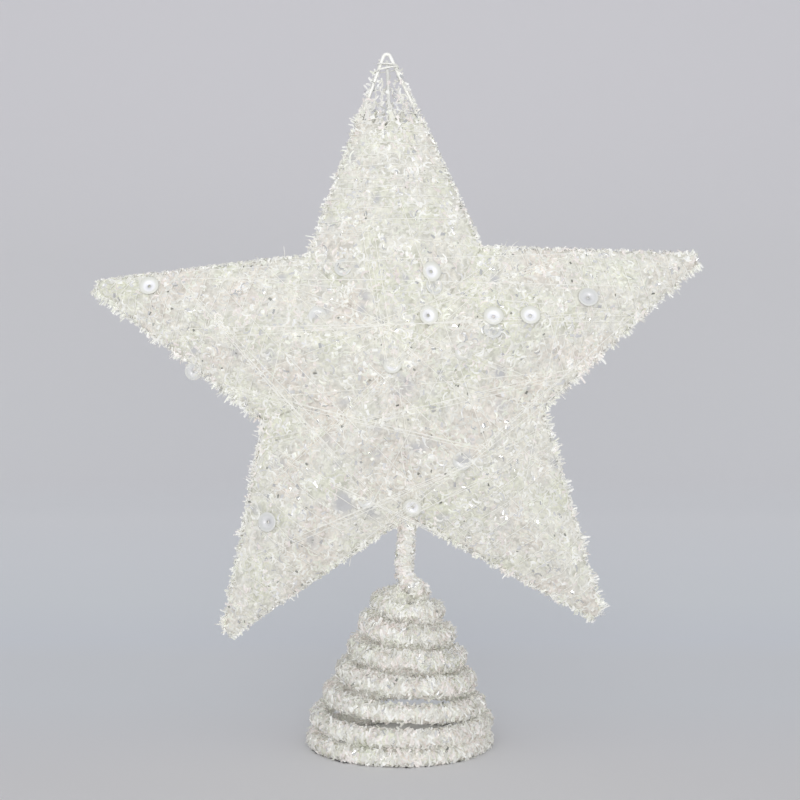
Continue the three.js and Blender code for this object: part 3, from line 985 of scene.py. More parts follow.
@dataclass
class StarWeb:
    """The web of matted yarn over the arms, with the film strips in it."""

    shape: StarShape
    yarn: bpy.types.Material
    films: Sequence[bpy.types.Material]
    thin_places: Sequence[ThinPlace]
    mat_outside: float = 1.75 * MM  # the yarn's surface over the frame's own face
    mat_thickness: float = 0.6 * MM
    mat_cell: float = 1.1 * MM
    lumps: float = 0.28 * MM
    rim: float = 1.0 * MM  # the web's edge beyond the outline wire's middle
    rim_round: float = 2.0 * MM
    ragged: float = 3 * MM  # how much the yarn's end on the top arm wanders
    lump_waves: tuple[float, float] = (3.2 * MM, 1.7 * MM)
    lump_shares: tuple[float, float] = (0.7, 0.5)
    top_end_round: float = 2 * MM
    top_fade: float = 1.1  # how suddenly the film of the top arm thins out towards its bare tip
    thin_edge: float = 1.6  # over 1, a thin place is at its thinnest before its middle is reached
    thin_uneven: float = 0.25  # how much the outline of a thin place wanders
    thin_wave: float = 2.5  # over how many of its radii it does so
    gap_share: float = 0.8  # the share of film that a fully thin place lacks
    face_seed: int = 100
    fringe_seed: int = 300
    fringe_per_mm: float = 7
    fringe_end: float = 0.02  # where it stops, as a share of the edge from the tip
    fringe_fan: float = 1.3  # how far it fans out to the front and the rear, in radians
    fringe_out: tuple[float, float] = (0.9 * MM, 1.8 * MM)  # its roots, from the middle of the wire
    fringe_lift: tuple[float, float] = (5, 72)
    fringe_lift_ends: tuple[float, float] = (3, 80)
    fringe_length: tuple[float, float] = (1.2 * MM, 2.8 * MM)
    fringe_length_ends: tuple[float, float] = (0.6, 1.4)
    fringe_width: tuple[float, float] = (0.45 * MM, 1.05 * MM)
    fringe_uneven: float = 0.3  # how much its length changes from place to place
    fringe_wave: float = 6 * MM
    fringe_roll: float = 75
    # painted light: the fringe is made paler for the light that comes through and round its thin film
    fringe_painted_light: float = 0.7
    # how far the fringe stands out beside its usual length, by the arm and the sign of its edge's y
    fringe_reach: dict[tuple[str, int], float] = field(
        default_factory=lambda: {
            ("left", -1): 0.4,
            ("right", 1): 0.5,
            ("top", -1): 0.55,
            ("left", 1): 1.25,
            ("right", -1): 1.15,
            ("lower_left", 1): 0.7,
            ("lower_right", 1): 1.2,
        }
    )
    tip_end: float = 127.2 * MM  # how far along an arm the yarn reaches
    top_end: float = 101 * MM  # and along the top arm
    top_sparse: float = 124 * MM  # how far along the top arm there is any film
    curl_length: tuple[float, float] = (2.2 * MM, 4.4 * MM)
    curl_width: tuple[float, float] = (0.6 * MM, 0.95 * MM)
    curl_lift: float = 4
    curl_roll: float = 12
    curls_per_mm2: float = 0.24
    curl_heights: tuple[float, float] = (0.02 * MM, 0.25 * MM)
    chip_length: tuple[float, float] = (1.0 * MM, 2.4 * MM)
    chip_width: tuple[float, float] = (0.7 * MM, 1.5 * MM)
    chip_lift: float = 6
    chip_roll: float = 10
    chips_standing: float = 0.09  # the share of chips that stand up from the yarn
    standing_lift: tuple[float, float] = (10, 45)
    dark_length: float = 0.7  # of the chips painted as dark reflections, beside the others
    dark_width: float = 0.8
    chips_per_mm2: float = 0.26
    chip_heights: tuple[float, float] = (0.04 * MM, 0.4 * MM)
    tuft_count: int = 260
    tuft_spread: tuple[float, float, float] = (0.8, 1, 1)  # of its directions, along, across and out
    tuft_forward: tuple[float, float, float] = (0.45, 0, 0)  # what turns them towards the tip
    # painted light: the tufts are made paler for the light that comes through and round them
    tuft_painted_light: float = 0.6
    tuft_from_tip: tuple[float, float] = (7 * MM, 1.6 * MM)
    tuft_out: tuple[float, float] = (0.4 * MM, 1.4 * MM)
    tuft_lift: tuple[float, float] = (5, 55)
    tuft_length: tuple[float, float] = (0.9 * MM, 2.1 * MM)
    tuft_width: tuple[float, float] = (0.35 * MM, 0.8 * MM)
    curl: StripShape = StripShape(cuts=2, curl=0.14, twist_degrees=20)
    chip: StripShape = StripShape(twist_degrees=20)
    curl_shares: dict[Cut, float] = field(
        default_factory=lambda: {
            Cut.WHITE: 0.76,
            Cut.GREEN_PEARL: 0.11,
            Cut.PINK_PEARL: 0.07,
            Cut.CLEAR: 0.04,
            Cut.SILVER: 0.02,
        }
    )
    chip_shares: dict[Cut, float] = field(
        default_factory=lambda: {
            Cut.WHITE: 0.64,
            Cut.GREEN_PEARL: 0.11,
            Cut.PINK_PEARL: 0.09,
            Cut.CLEAR: 0.1,
            Cut.SILVER: 0.04,
            Cut.DARK: 0.02,
        }
    )

    def thinness(self, points: np.ndarray, side: Side) -> np.ndarray:
        """How thin the web is at points of the topper's frame, from 0 to 1."""
        found = np.zeros(len(points))
        for place in self.thin_places:
            if place.side is side:
                middle = [self.shape.centre[0] + place.right, self.shape.centre[2] + place.up]
                offset = points[:, [0, 2]] - middle
                wander = self.thin_uneven * ripple(points, self.thin_wave * place.radius, 3)
                radius = place.radius * (1 + wander)
                share = np.clip(self.thin_edge * (1 - np.hypot(*offset.T) / radius), 0, 1)
                found = np.maximum(found, place.depth * share)
        return found

    def end_of(self, arm: int) -> float:
        """How far along an arm the matted yarn reaches."""
        return self.top_end if ARMS[arm] == "top" else self.tip_end

    def mat(self, arm: int, side: Side) -> bpy.types.Object:
        """Models the matted yarn over one face of an arm.

        A grid is laid over the arm's two planes, rounded over the outline wires and made lumpy, and gets
        its wall from a Solidify modifier.

        Args:
            arm: The arm's number in ARMS.
            side: The side of the star.

        Returns:
            The mat, which stands for the web's node.
        """
        star = self.shape
        end = self.end_of(arm)
        along = round(end / self.mat_cell)
        across = 2 * round(star.notch[1] / self.mat_cell)
        bm = bmesh.new()
        bmesh.ops.create_grid(bm, x_segments=along, y_segments=across, size=0.5)
        flat = np.array([v.co for v in bm.verts])
        share = 2 * flat[:, 1]
        x = (flat[:, 0] + 0.5) * end
        if ARMS[arm] == "top":
            wander = ripple(share[:, None] * 20 * MM, 9 * MM, 5 + side.value)
            x = x + (x / end) ** 6 * self.ragged * wander
        y = share * star.half_width(x, self.rim)
        to_side = star.to_side(x, y) + self.rim
        over = np.clip(1 - to_side / self.rim_round, 0, 1)
        rounding = np.sqrt(np.clip(1 - over**2, 0, 1))
        least = star.clearance / 2
        local = np.stack([x, y, star.height(x, y, self.mat_outside)], 1)
        raised = self.lumps * self.bumps(local, arm, side)
        local[:, 2] = least + (local[:, 2] - least + raised) * rounding
        world = star.placed(local, arm, side)
        for vertex, place in zip(bm.verts, world, strict=True):
            vertex.co = place
        bmesh.ops.remove_doubles(bm, verts=bm.verts, dist=0.01 * MM)
        bmesh.ops.recalc_face_normals(bm, faces=bm.faces)
        bm.faces.ensure_lookup_table()
        towards_front = sum(f.normal.y * f.calc_area() for f in bm.faces) < 0
        if towards_front != (side is Side.FRONT):
            bmesh.ops.reverse_faces(bm, faces=bm.faces)
        mesh = smooth_mesh(bm, "mat")
        places = np.zeros(len(mesh.vertices) * 3, np.float32)
        mesh.vertices.foreach_get("co", places)
        # the yarn's material paints the thin places grey, as the shade seen through them
        add_attribute(mesh, "thin", self.thinness(places.reshape(-1, 3), side))
        piece = make_piece(f"{side.word}_yarn_mat_{ARMS[arm]}", mesh, [self.yarn])
        wall = piece.modifiers.new("wall", "SOLIDIFY")
        wall.thickness = self.mat_thickness
        wall.offset = -1
        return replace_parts(piece, f"{side.word}_web_{ARMS[arm]}")

    def spread(
        self,
        rng: np.random.Generator,
        arm: int,
        side: Side,
        per_mm2: float,
        heights: tuple[float, float],
    ) -> tuple[np.ndarray, np.ndarray]:
        """Scatters places over one face of an arm, fewer of them where the web is thin.

        Args:
            rng: The source of chance.
            arm: The arm's number in ARMS.
            side: The side of the star.
            per_mm2: How many places there are to a square millimetre.
            heights: The least and most height over the yarn.

        Returns:
            The places and the face's normal at each.
        """
        star = self.shape
        reach = self.top_sparse if ARMS[arm] == "top" else self.tip_end
        tries = int(per_mm2 / MM**2 * 2 * reach * star.notch[1])
        x = rng.uniform(0, reach, tries)
        y = rng.uniform(-1, 1, tries) * star.notch[1]
        keep = np.abs(y) <= star.half_width(x, self.rim)
        if ARMS[arm] == "top":
            keep &= rng.uniform(0, 1, tries) < self.top_density(x)
        x, y = x[keep], y[keep]
        local = np.stack([x, y, star.height(x, y, self.mat_outside)], 1)
        world = star.placed(local, arm, side)
        thick = rng.uniform(0, 1, len(x)) > self.gap_share * self.thinness(world, side)
        local, world = local[thick], world[thick]
        normals = star.turned(star.face_normal(local[:, 1]), arm, side)
        lump = self.lumps * self.bumps(local, arm, side)
        return world + normals * (rng.uniform(*heights, len(world)) + lump)[:, None], normals

    def top_density(self, x: np.ndarray) -> np.ndarray:
        """How dense the web of the top arm is at x, from 1 down to 0 at its bare tip."""
        fade = self.top_sparse - self.top_end - self.top_end_round
        return np.clip((self.top_sparse - x) / fade, 0, 1) ** self.top_fade

    def bumps(self, local: np.ndarray, arm: int, side: Side) -> np.ndarray:
        """The lumps of the yarn at places in an arm's frame."""
        flat = local * [1, 1, 0]
        broad = ripple(flat, self.lump_waves[0], 11 + arm * 2 + side.value)
        fine = ripple(flat, self.lump_waves[1], 31 + arm)
        return self.lump_shares[0] * broad + self.lump_shares[1] * fine

    def film_on_face(self, arm: int, side: Side) -> bpy.types.Object:
        """Scatters curls and chips of film over one face of an arm.

        Args:
            arm: The arm's number in ARMS.
            side: The side of the star.

        Returns:
            The piece with all the film of that face.
        """
        rng = np.random.default_rng(self.face_seed + 10 * arm + side.value)
        places, normals = self.spread(rng, arm, side, self.curls_per_mm2, self.curl_heights)
        count = len(places)
        lift = np.abs(rng.normal(0, self.curl_lift, count))
        length = rng.uniform(*self.curl_length, count)
        width = rng.uniform(*self.curl_width, count)
        film = chosen_films(rng, self.curl_shares, places)
        curls = Strips.laid(rng, places, normals, lift, length, width, film, roll_degrees=self.curl_roll)
        places, normals = self.spread(rng, arm, side, self.chips_per_mm2, self.chip_heights)
        count = len(places)
        standing = rng.uniform(0, 1, count) < self.chips_standing
        lift = np.abs(rng.normal(0, self.chip_lift, count))
        lift = lift + standing * rng.uniform(*self.standing_lift, count)
        film = chosen_films(rng, self.chip_shares, places)
        dark = film == Cut.DARK
        length = rng.uniform(*self.chip_length, count) * np.where(dark, self.dark_length, 1)
        width = rng.uniform(*self.chip_width, count) * np.where(dark, self.dark_width, 1)
        chips = Strips.laid(rng, places, normals, lift, length, width, film, roll_degrees=self.chip_roll)
        mesh = strip_mesh([(curls, self.curl), (chips, self.chip)])
        return make_piece(f"{side.word}_film_{ARMS[arm]}", mesh, self.films, lets_light_through=True)

    def fringe(self, arm: int) -> bpy.types.Object:
        """Stands chips out along the two edges and the tip of an arm.

        Args:
            arm: The arm's number in ARMS.

        Returns:
            The piece with the arm's fringe.
        """
        star = self.shape
        rng = np.random.default_rng(self.fringe_seed + arm)
        start = np.array(star.notch)
        tip = np.array([star.straight_tip, 0.0])
        stop = tip + (start - tip) * self.fringe_end
        count = int(2 * float(np.linalg.norm(stop - start)) / MM * self.fringe_per_mm)
        share = rng.uniform(0, 1, count)
        if ARMS[arm] == "top":
            x = start[0] + (stop[0] - start[0]) * share
            share = share[rng.uniform(0, 1, count) < self.top_density(x)]
            count = len(share)
        sign = rng.choice([-1.0, 1.0], count)
        one_edge, other_edge = (self.fringe_reach.get((ARMS[arm], end), 1) for end in (1, -1))
        reach = np.where(sign > 0, one_edge, other_edge)
        flat = start + (stop - start) * share[:, None]
        level = np.zeros(count)
        outward = np.stack([np.full(count, star.side_normal[0]), sign * star.side_normal[1], level], 1)
        angle = rng.uniform(-self.fringe_fan, self.fringe_fan, count)
        normal = outward * np.cos(angle)[:, None]
        normal[:, 2] = np.sin(angle)
        middle = np.stack([flat[:, 0], sign * flat[:, 1], level], 1)
        surface = middle + normal * rng.uniform(*self.fringe_out, count)[:, None]
        long = (1 + self.fringe_uneven * ripple(middle, self.fringe_wave, 91)) * reach
        lift = np.clip(rng.uniform(*self.fringe_lift, count) * long, *self.fringe_lift_ends)
        length = rng.uniform(*self.fringe_length, count) * np.clip(long, *self.fringe_length_ends)
        width = rng.uniform(*self.fringe_width, count)
        shares = self.chip_shares | {Cut.CLEAR: 0.03, Cut.SILVER: 0.01, Cut.DARK: 0.003}
        world = star.placed(surface, arm)
        film = chosen_films(rng, shares, world)
        normals = star.turned(normal, arm)
        loose = {"roll_degrees": self.fringe_roll, "pale": self.fringe_painted_light}
        edge = Strips.laid(rng, world, normals, lift, length, width, film, **loose)
        lots = [(edge, self.chip)]
        if ARMS[arm] != "top":
            lots.append((self.tuft(arm, rng), self.chip))
        return make_piece(f"edge_film_{ARMS[arm]}", strip_mesh(lots), self.films, lets_light_through=True)

    def tuft(self, arm: int, rng: np.random.Generator) -> Strips:
        """Gathers chips round the bend of the wire at a tip."""
        star = self.shape
        count = self.tuft_count
        normal = unit(rng.normal(size=(count, 3)) * self.tuft_spread + self.tuft_forward)
        start, stop = (star.tip_radius - back for back in self.tuft_from_tip)
        x = rng.uniform(start, stop, count)
        middle = np.stack([x, star.half_width(x) * rng.uniform(-1, 1, count), np.zeros(count)], 1)
        surface = middle + normal * rng.uniform(*self.tuft_out, count)[:, None]
        world = star.placed(surface, arm)
        normals = star.turned(normal, arm)
        film = chosen_films(rng, self.chip_shares, world)
        lift = rng.uniform(*self.tuft_lift, count)
        length = rng.uniform(*self.tuft_length, count)
        width = rng.uniform(*self.tuft_width, count)
        return Strips.laid(rng, world, normals, lift, length, width, film, pale=self.tuft_painted_light)

    def build(self) -> list[bpy.types.Object]:
        """Makes the mats, the strips on the faces and the fringe of every arm."""
        made = []
        for arm in range(len(ARMS)):
            for side in Side:
                made.append(self.mat(arm, side))
                made.append(self.film_on_face(arm, side))
            made.append(self.fringe(arm))
        for piece in made:
            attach(piece, "star")
        return made


@dataclass
class StarThreads:
    """White thread wound round the arms and criss-cross over the star from edge to edge."""

    shape: StarShape
    thread: bpy.types.Material
    radius: float = 0.15 * MM
    winding_radius: float = 0.17 * MM
    sides: int = 6
    outside: float = 2.1 * MM  # the thread's middle over the frame's own face
    rim: float = 2.1 * MM
    loops: int = 11
    from_notch: float = 8.5 * MM
    from_web_end: float = 2.5 * MM
    bare_top: float = 22 * MM
    bare: float = 4 * MM
    # a loop's points: how far across the arm, and 1 over the front, 0 on the edge or -1 over the rear
    corners: Sequence[tuple[float, int]] = (
        (0, 1),
        (0.5, 1),
        (1, 1),
        (1, 0),
        (1, -1),
        (0.5, -1),
        (0, -1),
        (-0.5, -1),
        (-1, -1),
        (-1, 0),
        (-1, 1),
        (-0.5, 1),
    )
    uneven: float = 0.5 * MM  # how far a loop wanders along the arm
    back_under: float = 0.5 * MM  # the way back lies this far under the way out
    back_from: float = 0.02
    back_span: float = 0.93
    edge_share: float = 0.97  # where a loop leaves a face, beside its widest point
    winding_seed: int = 500
    crossing_seed: int = 600
    crossings: int = 54
    fan: tuple[int, int] = (1, 4)  # crossing threads lie in fans of one to three
    fan_spread: float = 1.6 * MM
    crossing_ends: tuple[float, float] = (0.0, 0.8)  # where they cross an edge, from the notch to the tip
    crossing_depth: tuple[float, float] = (-0.2 * MM, 0.5 * MM)
    short_of_tip: float = 3 * MM
    slack: float = 0.3 * MM
    binding_turns: int = 3
    binding_steps: int = 24  # in a turn
    binding_wander: float = 1.1 * MM
    binding_wave: float = 4.4
    binding_from: float = 120.5 * MM
    binding_to: float = 125.0 * MM
    binding_radius: float = 0.28 * MM
    steps: int = 40

    def winding(self, arm: int) -> bpy.types.Object:
        """Winds the thread round an arm, from the notches towards the tip and back.

        Args:
            arm: The arm's number in ARMS.

        Returns:
            The winding, which stands for the node of the arm's thread.
        """
        star = self.shape
        rng = np.random.default_rng(self.winding_seed + arm)
        start = star.notch[0] + self.from_notch
        bare = self.bare_top if ARMS[arm] == "top" else self.bare
        stop = star.tip_radius - bare - self.from_web_end
        count = len(self.corners) * self.loops
        across, face = np.array([self.corners[i % len(self.corners)] for i in range(count + 1)]).T
        rounding = np.where((face != 0) & (np.abs(across) == 1), self.edge_share, 1.0)
        routes = []
        for back in (False, True):
            share = np.linspace(0, 1, count + 1)
            if back:
                share = np.linspace(1, 0, count + 1) * self.back_span + self.back_from
            x = start + (stop - start) * share
            x = x + rng.normal(0, self.uneven, count + 1)
            y = across * star.to_sides(x, self.rim) * rounding
            outside = self.outside - (self.back_under if back else 0)
            routes.append(star.placed(np.stack([x, y, face * star.height(x, y, outside)], 1), arm))
        mesh = tube_mesh(routes, self.winding_radius, self.sides)
        piece = make_piece(f"wound_thread_{ARMS[arm]}", mesh, [self.thread])
        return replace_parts(piece, f"thread_{ARMS[arm]}")

    def over(self, first: np.ndarray, last: np.ndarray, side: Side, outside: float) -> np.ndarray | None:
        """Stretches a thread over one side of the star between two places on its outline.

        Args:
            first: Right of and above the star's centre, where the thread comes over the edge.
            last: Where it leaves again.
            side: The side of the star.
            outside: The thread's height over the frame's own face.

        Returns:
            The thread's points in the topper's frame, or None if the line leaves the star.
        """
        star = self.shape
        share = np.linspace(0, 1, self.steps + 1)
        flat = first + (last - first) * share[:, None]
        _, x, y = star.in_arm(flat[:, 0], flat[:, 1])
        if (np.abs(y) > star.half_width(x, self.rim) + self.slack)[1:-1].any():
            return None
        high = star.height(x, y, outside)
        high[[0, -1]] = 0
        hull: list[int] = []  # the points that the taut thread touches
        for i in range(len(share)):
            while len(hull) > 1:
                a, b = hull[-2], hull[-1]
                rise = (high[b] - high[a]) * (share[i] - share[a])
                if rise > (high[i] - high[a]) * (share[b] - share[a]):
                    break
                hull.pop()
            hull.append(i)
        taut = np.interp(share, share[hull], high[hull])
        keep = sorted({0, 1, self.steps - 1, self.steps, *hull})
        centre = np.array(star.centre)
        points = np.stack([flat[keep, 0], -side.value * taut[keep], flat[keep, 1]], 1)
        return points + centre

    def crossing(self, side: Side) -> bpy.types.Object:
        """Draws the threads that cross one side of the star.

        Args:
            side: The side of the star.

        Returns:
            The piece with all of that side's crossing threads.
        """
        star = self.shape
        rng = np.random.default_rng(self.crossing_seed + side.value)
        turn = math.radians(star.turn_degrees)
        edges = []
        for arm in range(len(ARMS)):
            middle = math.pi / 2 + STEP * arm + turn
            tip = (star.tip_radius - self.short_of_tip) * np.array([math.cos(middle), math.sin(middle)])
            for way in (-1, 1):
                angle = middle + way * STEP / 2
                notch = (star.notch_radius + self.rim) * np.array([math.cos(angle), math.sin(angle)])
                edges.append((notch, tip))
        routes = []
        while len(routes) < self.crossings:
            one, other = rng.choice(len(edges), 2, replace=False)
            ends = []
            for edge in (edges[one], edges[other]):
                share = rng.uniform(*self.crossing_ends)
                ends.append(edge[0] + (edge[1] - edge[0]) * share)
            for _ in range(rng.integers(*self.fan)):
                shifted = [end + rng.normal(0, self.fan_spread, 2) for end in ends]
                points = self.over(*shifted, side, self.outside - rng.uniform(*self.crossing_depth))
                if points is not None:
                    routes.append(points)
        mesh = tube_mesh(routes, self.radius, self.sides)
        return make_piece(f"{side.word}_crossing_thread", mesh, [self.thread], lets_light_through=True)

    def tip_binding(self) -> bpy.types.Object:
        """Binds the three wires together just under the bare tip of the top arm."""
        star = self.shape
        turns = np.linspace(0, self.binding_turns, self.binding_steps * self.binding_turns + 1)
        x = self.binding_from + (self.binding_to - self.binding_from) * turns / self.binding_turns
        x = x + self.binding_wander * np.sin(turns * self.binding_wave)
        wide = star.half_width(x) + star.wire / 2 + self.binding_radius + star.clearance
        high = star.height(x, np.zeros_like(x), star.wire + self.binding_radius)
        angle = turns * 2 * math.pi
        route = np.stack([x, wide * np.cos(angle), high * np.sin(angle)], 1)
        mesh = tube_mesh([star.placed(route, ARMS.index("top"))], self.binding_radius, self.sides)
        return make_piece("tip_binding_thread", mesh, [self.thread])

    def build(self) -> list[bpy.types.Object]:
        """Makes the windings of the arms, the crossing threads of both sides and the binding of the tip."""
        made = [self.winding(arm) for arm in range(len(ARMS))] + [self.crossing(side) for side in Side]
        made.append(self.tip_binding())
        for piece in made:
            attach(piece, "star")
        return made


@dataclass(frozen=True)
class SequinPlace:
    """A place on the star for a sequin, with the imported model's own values."""

    arm: str
    along: float  # 0 at the star's centre, 1 level with the notches, 2 at the tip
    across: float  # from -1 to 1, anticlockwise round the star
    clear: bool = False


@dataclass(frozen=True)
class LooseSequin:
    """A sequin half buried in the web, in metres from the star's centre."""

    right: float
    up: float
    side: Side = Side.FRONT
    clear: bool = False


@dataclass
class StarSequins:
    """Pressed film cups with a hole, caught in the web."""

    shape: StarShape
    pearl: bpy.types.Material
    clear: bpy.types.Material
    radius: float = 4 * MM
    hole: float = 0.6 * MM
    floor_radius: float = 2.1 * MM
    cup: float = 0.9 * MM
    film: float = 0.3 * MM
    segments: int = 32
    outside: float = 2.4 * MM
    front: Sequence[SequinPlace] = (
        SequinPlace("top", 0.81, -0.49),
        SequinPlace("top", 0.44, -0.77),
        SequinPlace("right", 0.88, 0.22),
        SequinPlace("right", 1.10, 0.06),
        SequinPlace("lower_right", 0.98, -0.92),
        SequinPlace("left", 1.73, -0.55),
        SequinPlace("right", 1.40, 0.02, clear=True),
        SequinPlace("lower_left", 1.41, -0.53, clear=True),
    )
    rear: Sequence[SequinPlace] = (
        SequinPlace("top", 0.93, 0.44),
        SequinPlace("right", 0.56, 0.21),
        SequinPlace("left", 0.88, -0.15, clear=True),
        SequinPlace("lower_right", 1.47, 0.65),
        SequinPlace("lower_right", 0.56, -0.42, clear=True),
    )
    lip: float = 0.12 * MM  # the rounding of the rim
    buried: float = 1.3 * MM  # height of a loose sequin over the frame's own face
    loose_scale: float = 0.92
    loose_tilt: float = 0.12
    loose_seed: int = 700
    loose: Sequence[LooseSequin] = (
        LooseSequin(-22.9 * MM, 40.7 * MM, clear=True),
        LooseSequin(-3.2 * MM, 1.3 * MM),
        LooseSequin(24.2 * MM, 7.4 * MM),
        LooseSequin(-84.0 * MM, -0.6 * MM, clear=True),
        LooseSequin(12.8 * MM, 33.1 * MM, clear=True),
        LooseSequin(36.2 * MM, 15.3 * MM, clear=True),
        LooseSequin(24.3 * MM, -36.2 * MM, clear=True),
        LooseSequin(-33.2 * MM, 21.1 * MM, clear=True),
        LooseSequin(-14.0 * MM, -52.0 * MM, clear=True),
        LooseSequin(30.0 * MM, -62.0 * MM),
        LooseSequin(20.0 * MM, 30.0 * MM, Side.REAR, clear=True),
        LooseSequin(-31.0 * MM, -22.0 * MM, Side.REAR),
        LooseSequin(52.0 * MM, 18.0 * MM, Side.REAR, clear=True),
        LooseSequin(-8.0 * MM, 61.0 * MM, Side.REAR),
    )

    def cup_mesh(self, scale: float = 1.0) -> bpy.types.Mesh:
        """Spins the cup's wall round its hole.

        Args:
            scale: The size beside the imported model's sequin.

        Returns:
            The cup, its hole along z and its rim up, with how far out each point lies.
        """
        profile = [
            (self.hole, 0.0),
            (self.floor_radius, 0.0),
            (self.radius - self.lip, self.cup),
            (self.radius, self.cup + self.film / 2),
            (self.radius - self.lip, self.cup + self.film),
            (self.floor_radius, self.film),
            (self.hole, self.film),
        ]
        bm = bmesh.new()
        ring = [bm.verts.new((r * scale, 0, h * scale)) for r, h in profile]
        edges = [bm.edges.new((ring[i], ring[(i + 1) % len(ring)])) for i in range(len(ring))]
        bmesh.ops.spin(
            bm,
            geom=ring + edges,
            cent=(0, 0, 0),
            axis=(0, 0, 1),
            angle=2 * math.pi,
            steps=self.segments,
            use_merge=True,
        )
        bmesh.ops.remove_doubles(bm, verts=bm.verts, dist=SAME_PLACE)
        bmesh.ops.recalc_face_normals(bm, faces=bm.faces)
        mesh = smooth_mesh(bm, "cup")
        places = np.array([v.co for v in mesh.vertices])
        add_attribute(mesh, "outward", np.hypot(places[:, 0], places[:, 1]) / (self.radius * scale))
        return mesh

    def cup_at(self, place: np.ndarray, normal: Vector, scale: float = 1.0) -> bpy.types.Mesh:
        """Makes a cup with its floor at a place and its mouth along a normal."""
        mesh = self.cup_mesh(scale)
        mesh.transform(normal.to_track_quat("Z", "Y").to_matrix().to_4x4())
        mesh.transform(Matrix.Translation(place))
        return mesh

    def seated(self, place: SequinPlace, side: Side, name: str) -> bpy.types.Object:
        """Puts a sequin on its place.

        Args:
            place: The place on the side of the star.
            side: The side of the star.
            name: The node that the sequin stands for.

        Returns:
            The sequin.
        """
        star = self.shape
        x = place.along * star.notch[0]
        if place.along >= 1:
            x = star.notch[0] + (place.along - 1) * (star.tip_radius - star.notch[0])
        y = place.across * float(star.half_width(np.array(x)))
        arm = ARMS.index(place.arm)
        if side is Side.REAR:
            arm = -arm % len(ARMS)
        local = np.array([[x, y, float(star.height(np.array(x), np.array(y), self.outside))]])
        normal = Vector(star.turned(star.face_normal(np.array([y])), arm, side)[0])
        mesh = self.cup_at(star.placed(local, arm, side)[0], normal)
        material = self.clear if place.clear else self.pearl
        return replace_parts(make_piece(f"cup_{name}", mesh, [material]), name)

    def seated_loose(self, place: LooseSequin, number: int) -> bpy.types.Object:
        """Buries a loose sequin in the web.

        Args:
            place: Its place and side.
            number: The number in its name.

        Returns:
            The sequin.
        """
        star = self.shape
        right = place.right if place.side is Side.FRONT else -place.right
        found, x, y = star.in_arm(np.array([right]), np.array([place.up]))
        arm = int(found[0])
        local = np.stack([x, y, star.height(x, y, self.buried)], 1)
        local = local * [1, place.side.value, 1]
        rng = np.random.default_rng(self.loose_seed + number)
        tilt = Vector(rng.normal(0, self.loose_tilt, 3))
        level = Vector(star.turned(star.face_normal(local[:, 1]), arm, place.side)[0])
        normal = (level + tilt).normalized()
        mesh = self.cup_at(star.placed(local, arm, place.side)[0], normal, self.loose_scale)
        return make_piece(f"loose_cup_{number}", mesh, [self.clear if place.clear else self.pearl])

    def build(self) -> list[bpy.types.Object]:
        """Makes the sequins of both sides."""
        made = [self.seated(p, Side.FRONT, f"front_sequin_{i}") for i, p in enumerate(self.front, 1)]
        made += [self.seated(p, Side.REAR, f"rear_sequin_{i}") for i, p in enumerate(self.rear, 1)]
        made += [self.seated_loose(p, i) for i, p in enumerate(self.loose, 1)]
        for piece in made:
            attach(piece, "star")
        return made


# Coil and stem


def eased(turns: np.ndarray, ease: float) -> np.ndarray:
    """Turns of full slope, where the slope grows steadily from nothing over the first ease turns."""
    late = np.maximum(turns, 0)
    return np.where(late < ease, late**2 / (2 * ease), late - ease / 2)


def smoothstep(value: np.ndarray, low: float, high: float) -> np.ndarray:
    """Rises smoothly from 0 at low to 1 at high."""
    share = np.clip((value - low) / (high - low), 0, 1)
    return share**2 * (3 - 2 * share)


@dataclass(frozen=True)
class CoilShape:
    """The middle of the coil's wire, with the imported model's sizes. Places are in turns from the tail."""

    ground_height: float = 2.6 * MM
    stack_rise: float = 7.2 * MM
    base_radius: float = 34.2 * MM
    taper: float = 4.5 * MM
    pitch: float = 9.3 * MM
    ramp_start: float = 0.78
    pitch_ease: float = 0.58
    taper_ease: float = 0.9
    crown_start: float = 6
    crown_taper: float = 1.4 * MM
    crown_flatten: float = 0.2
    turns: float = 7
    seam: float = 1.75
    crown_offset: float = 1.8 * MM
    offset_from: float = 10 * MM
    offset_to: float = 34 * MM
    neck_rise: float = 8.5 * MM
    neck_forward: float = 2 * MM
    neck_handles: tuple[float, float] = (6 * MM, 4 * MM)
    neck_steps: int = 24
    steps: int = 72  # in a turn

    def height(self, turns: np.ndarray) -> np.ndarray:
        """Height of the coil's middle."""
        crown = np.maximum(turns - self.crown_start, 0)
        rising = eased(turns - 1, self.pitch_ease) - self.crown_flatten * crown**2
        low = self.ground_height + self.stack_rise * smoothstep(turns, self.ramp_start, 1)
        return np.where(turns <= 1, low, self.ground_height + self.stack_rise + self.pitch * rising)

    def point(self, turns: np.ndarray) -> np.ndarray:
        """Place of the coil's middle, one row for each number of turns."""
        turns = np.atleast_1d(np.asarray(turns, float))
        crown = np.maximum(turns - self.crown_start, 0)
        closing = self.taper * eased(turns - self.ramp_start, self.taper_ease)
        radius = self.base_radius - closing - self.crown_taper * crown**2
        height = self.height(turns)
        offset = self.crown_offset * smoothstep(height, self.offset_from, self.offset_to)
        angle = -2 * math.pi * turns
        return np.stack([offset + radius * np.cos(angle), radius * np.sin(angle), height], 1)

    @property
    def stem_foot(self) -> np.ndarray:
        """Where the stem starts."""
        top = float(self.height(np.array(self.turns)))
        return np.array([self.crown_offset, -self.neck_forward, top + self.neck_rise])

    def route(self, start: float, stop: float) -> np.ndarray:
        """The coil's middle between two numbers of turns."""
        return self.point(np.linspace(start, stop, round((stop - start) * self.steps) + 1))

    def neck(self) -> np.ndarray:
        """The rising bend from the last turn to the foot of the stem."""
        start, before = self.point([self.turns, self.turns - 0.01])
        heading = unit(start - before)
        foot = self.stem_foot
        out, back = self.neck_handles
        leaving = start + heading * out
        arriving = foot - [0, 0, back]
        t = np.linspace(0, 1, self.neck_steps + 1)[1:, None]
        bend = start * (1 - t) ** 3 + 3 * leaving * t * (1 - t) ** 2 + 3 * arriving * t**2 * (1 - t)
        return bend + foot * t**3


